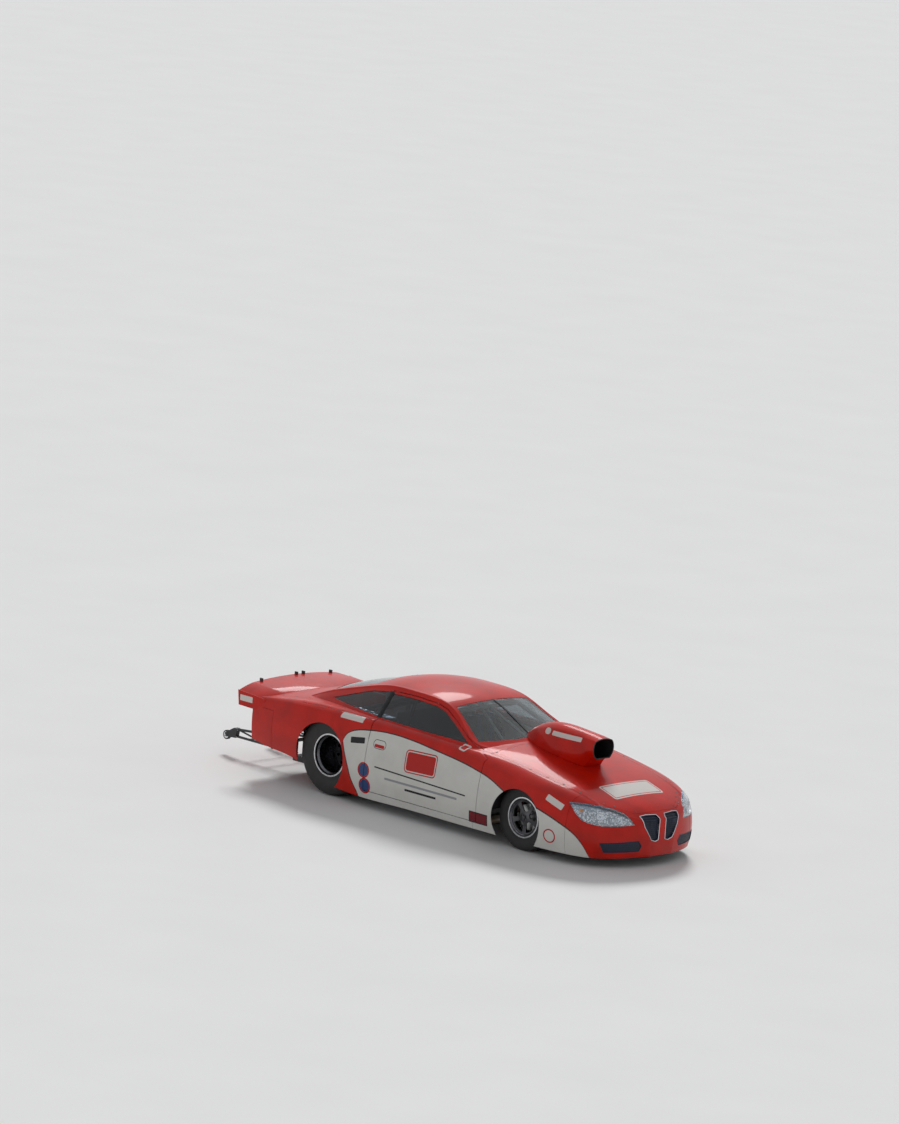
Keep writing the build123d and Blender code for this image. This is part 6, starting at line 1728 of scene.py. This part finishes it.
# %% Tail lights
lamp_parts, lamp_frames = [], []
for side in (-1, 1):
    outline = [(y * side, z) for y, z in TAIL_LIGHT]
    lamp_parts.append(combine(prism(outline, "x", -2.058, -2.020, -0.004), "INTERSECT", outer))
    for i in range(12):
        y = side * -(0.400 + 0.024 * i)
        lamp_parts.append(combine(brick(-2.0425, -2.034, y - 0.002, y + 0.002, 0.604, 0.662), "INTERSECT",
                                  prism(outline, "x", -2.058, -2.020, -0.006)))
    spots = dense([(-2.0405, a * 0.001, b * 0.001) for a, b in outline], 0.02)
    lamp_frames.append(tube("frame", spots, 0.0032, closed=True))
assembled("tail_light_lenses", lamp_parts, "tail_lens", "car_body", "tail_lights")
assembled("tail_light_frames", lamp_frames, "black_paint", "car_body", slot="tail_lens", degrees=60)
print("tail light parts:", len(lamp_parts))

# %% Exhaust and wheelie bar fittings
BEAD = rounded([(-8, 44), (-8, 51.2), (0, 52), (2, 50), (2, 44)], 1.5, 3)
BAND = rounded([(0, 50.1), (0, 52.5), (18, 52.5), (18, 50.1)], 0.8, 2)
ROLLER_HUB = rounded([(-18.2, 6.6), (-18.2, 34), (-13, 38), (13, 38), (18.2, 34), (18.2, 6.6)], 2, 3)
ROLLER_TYRE = rounded([(-18, 37.6), (-18, 44), (-14, 48), (14, 48), (18, 44), (18, 37.6)], 2.5, 4)
ROLLER_X, ROLLER_Z, BAR_Y, FORK_FACE, HUB_FACE = -2.852, 0.177, 0.330, 0.0262, 0.0150
BAR_JOINTS = [(-1.830, 0.333), (-1.830, 0.190), (-2.260, 0.297), (-2.692, 0.259), (-2.706, 0.186)]
BAR_HALF = 0.0135
ACROSS = Vector((0, 1, 0))
fittings, joints = [], []
for side in (-1, 1):
    start, end = Vector((1.395, side * 0.520, 0.240)), Vector((1.200, side * 0.640, 0.158))
    axis = (end - start).normalized()
    fittings.append(turned("bead", BEAD, end, axis, 64))
    fittings.append(turned("band", BAND, start + axis * 0.06, axis, 64))
assembled("exhaust_beads", fittings, "header_steel", "car_body")
for side, name in SIDES:
    for x, z in BAR_JOINTS:
        joints.append(hexagon_bolt((x, side * (BAR_Y + BAR_HALF), z), (0, side, 0), 0.013, 0.008))
        joints.append(hexagon_bolt((x, side * (BAR_Y - BAR_HALF), z), (0, -side, 0), 0.013, 0.006))
    centre = Vector((ROLLER_X, side * BAR_Y, ROLLER_Z))
    hub = [turned("hub", ROLLER_HUB, centre, ACROSS, 48)]
    for face in (-1, 1):
        spot = (ROLLER_X, side * BAR_Y + face * FORK_FACE, ROLLER_Z)
        joints.append(hexagon_bolt(spot, (0, face, 0), 0.018, 0.009))
        hub += around(centre, ACROSS, 5, lambda: hexagon_bolt(
            centre + Vector((0.024, face * HUB_FACE, 0)), ACROSS * face, 0.007, 0.004))
    roller = f"{name}_wheelie_wheel"
    assembled(f"{roller}_hub", hub, "rim_metal", roller, slot="rim_metal")
    rubber = turned(f"{roller}_tyre", ROLLER_TYRE, centre, ACROSS, 72)
    dress(shade(rubber, 50), "front_tyre", roller, roller, slot="roller_plastic")
assembled("wheelie_bar_bolts", joints, "link_steel", "car_body")
print("wheelie bar bolts:", len(joints))

# %% [markdown]
# Seen from below, the gearbox and the rear axle are castings with bolted joints, and the floor is thin
# sheet with rows of rivets. Rings of bolts and lines of rivets are cheap to make from one head, and give
# the right scale.

# %% Bolts and rivets underneath
LINE_Z, AXLE_HOUSING = 0.330, (-0.867, 0.110, 0.392)
under = []
for x, radius, count in ((1.1405, 0.128, 12), (0.898, 0.097, 8), (0.479, 0.094, 8)):
    under += around(Vector((x, 0, LINE_Z)), Vector((1, 0, 0)), count, lambda: hexagon_bolt(
        (x, 0, LINE_Z + radius), (1, 0, 0), 0.012, 0.008))
x, y, z = AXLE_HOUSING
for side in (1, -1):
    under += around(Vector((x, side * y, z)), ACROSS, 10, lambda: hexagon_bolt(
        (x, side * (y + 0.0005), z + 0.080), (0, side, 0), 0.012, 0.008))
assembled("driveline_bolts", under, "link_steel", "car_body")
RIVET = rounded([(0, 0.1), (0, 4.2), (0.9, 3.6), (1.6, 1.6), (1.7, 0.1)], 0.4, 2)
rivets = [turned("rivet", RIVET, (-0.300 + 0.082 * i, y, 0.1102), (0, 0, -1), 10)
          for y in (-0.780, -0.400, -0.270, 0.270, 0.400, 0.780) for i in range(17)]
assembled("floor_rivets", rivets, "bare_sheet", "car_body", degrees=60)
ROD_NUT = [(0, 7.4), (0, 13), (22, 13), (22, 7.4)]
BOOT = rounded([(0, 12.4), (0, 16.5), (10, 14), (20, 16.5), (30, 14), (40, 16.5), (48, 12.4)], 2, 3)
tie_rods = []
for side in (-1, 1):
    for profile, y, count in ((ROD_NUT, 0.585, 6), (BOOT, 0.345, 32)):
        tie_rods.append(turned("rod", profile, (1.940, side * y, 0.300), (0, side, 0), count))
assembled("steering_rack_fittings", tie_rods, "black_paint", "steering_rack", slot="link_steel", degrees=50)
print("driveline bolts:", len(under), "floor rivets:", len(rivets))

# %% Clear the helpers away
for leftover in [o for o in scene.objects if o.type == "MESH"]:
    if leftover.name not in DRESSED and leftover not in CAD.values():
        discard(leftover)
print("pieces made:", len(DRESSED))

# %% Floor, world and lamps
HALF_FLOOR = 200.0
floor_mesh = bpy.data.meshes.new("floor")
corners = [(x * HALF_FLOOR, y * HALF_FLOOR, 0) for x, y in ((-1, -1), (1, -1), (1, 1), (-1, 1))]
floor_mesh.from_pydata(corners, [], [(0, 1, 2, 3)])
floor = bpy.data.objects.new("floor", floor_mesh)
scene.collection.objects.link(floor)
floor_paint, floor_shader = start_finish("pale_floor", (0.80, 0.80, 0.79), 0.8)
floor_tone = noise(floor_paint, object_place(floor_paint), 0.8, 3.0)
link(floor_paint, ramp(floor_paint, floor_tone, (0.3, (0.79, 0.79, 0.78)), (0.7, (0.81, 0.81, 0.80))),
     floor_shader.inputs["Base Color"])
floor_mesh.materials.append(floor_paint)

world = bpy.data.worlds.new("studio")
scene.world = world
world.use_nodes = True
sky = world.node_tree.nodes["Background"]
sky.inputs["Color"].default_value = (0.96, 0.97, 1.0, 1)
seen = add_node(world, "LightPath").outputs
seen_by = maths(world, "MAXIMUM", seen["Is Glossy Ray"], seen["Is Transmission Ray"])
seen_by = maths(world, "MAXIMUM", seen_by, seen["Is Camera Ray"])
link(world, maths(world, "MULTIPLY_ADD", seen_by, 0.30, 0.42), sky.inputs["Strength"])


def soft_sun(name, away, strength, spread_degrees, glints=True):
    """Even light from one side of the studio, with soft shadows. Its mirror image can be left out."""
    lamp = bpy.data.lights.new(name, "SUN")
    lamp.energy, lamp.angle = strength, math.radians(spread_degrees)
    made = bpy.data.objects.new(name, lamp)
    made.rotation_euler = Vector(away).to_track_quat("Z", "Y").to_euler()
    made.visible_glossy = glints
    scene.collection.objects.link(made)


SUN = (-0.565, 0.598, 0.563)
soft_sun("key", SUN, 2.45, 14, glints=False)
soft_sun("glint", SUN, 0.22, 12)
scene.view_settings.view_transform = "Standard"
print("stage set")
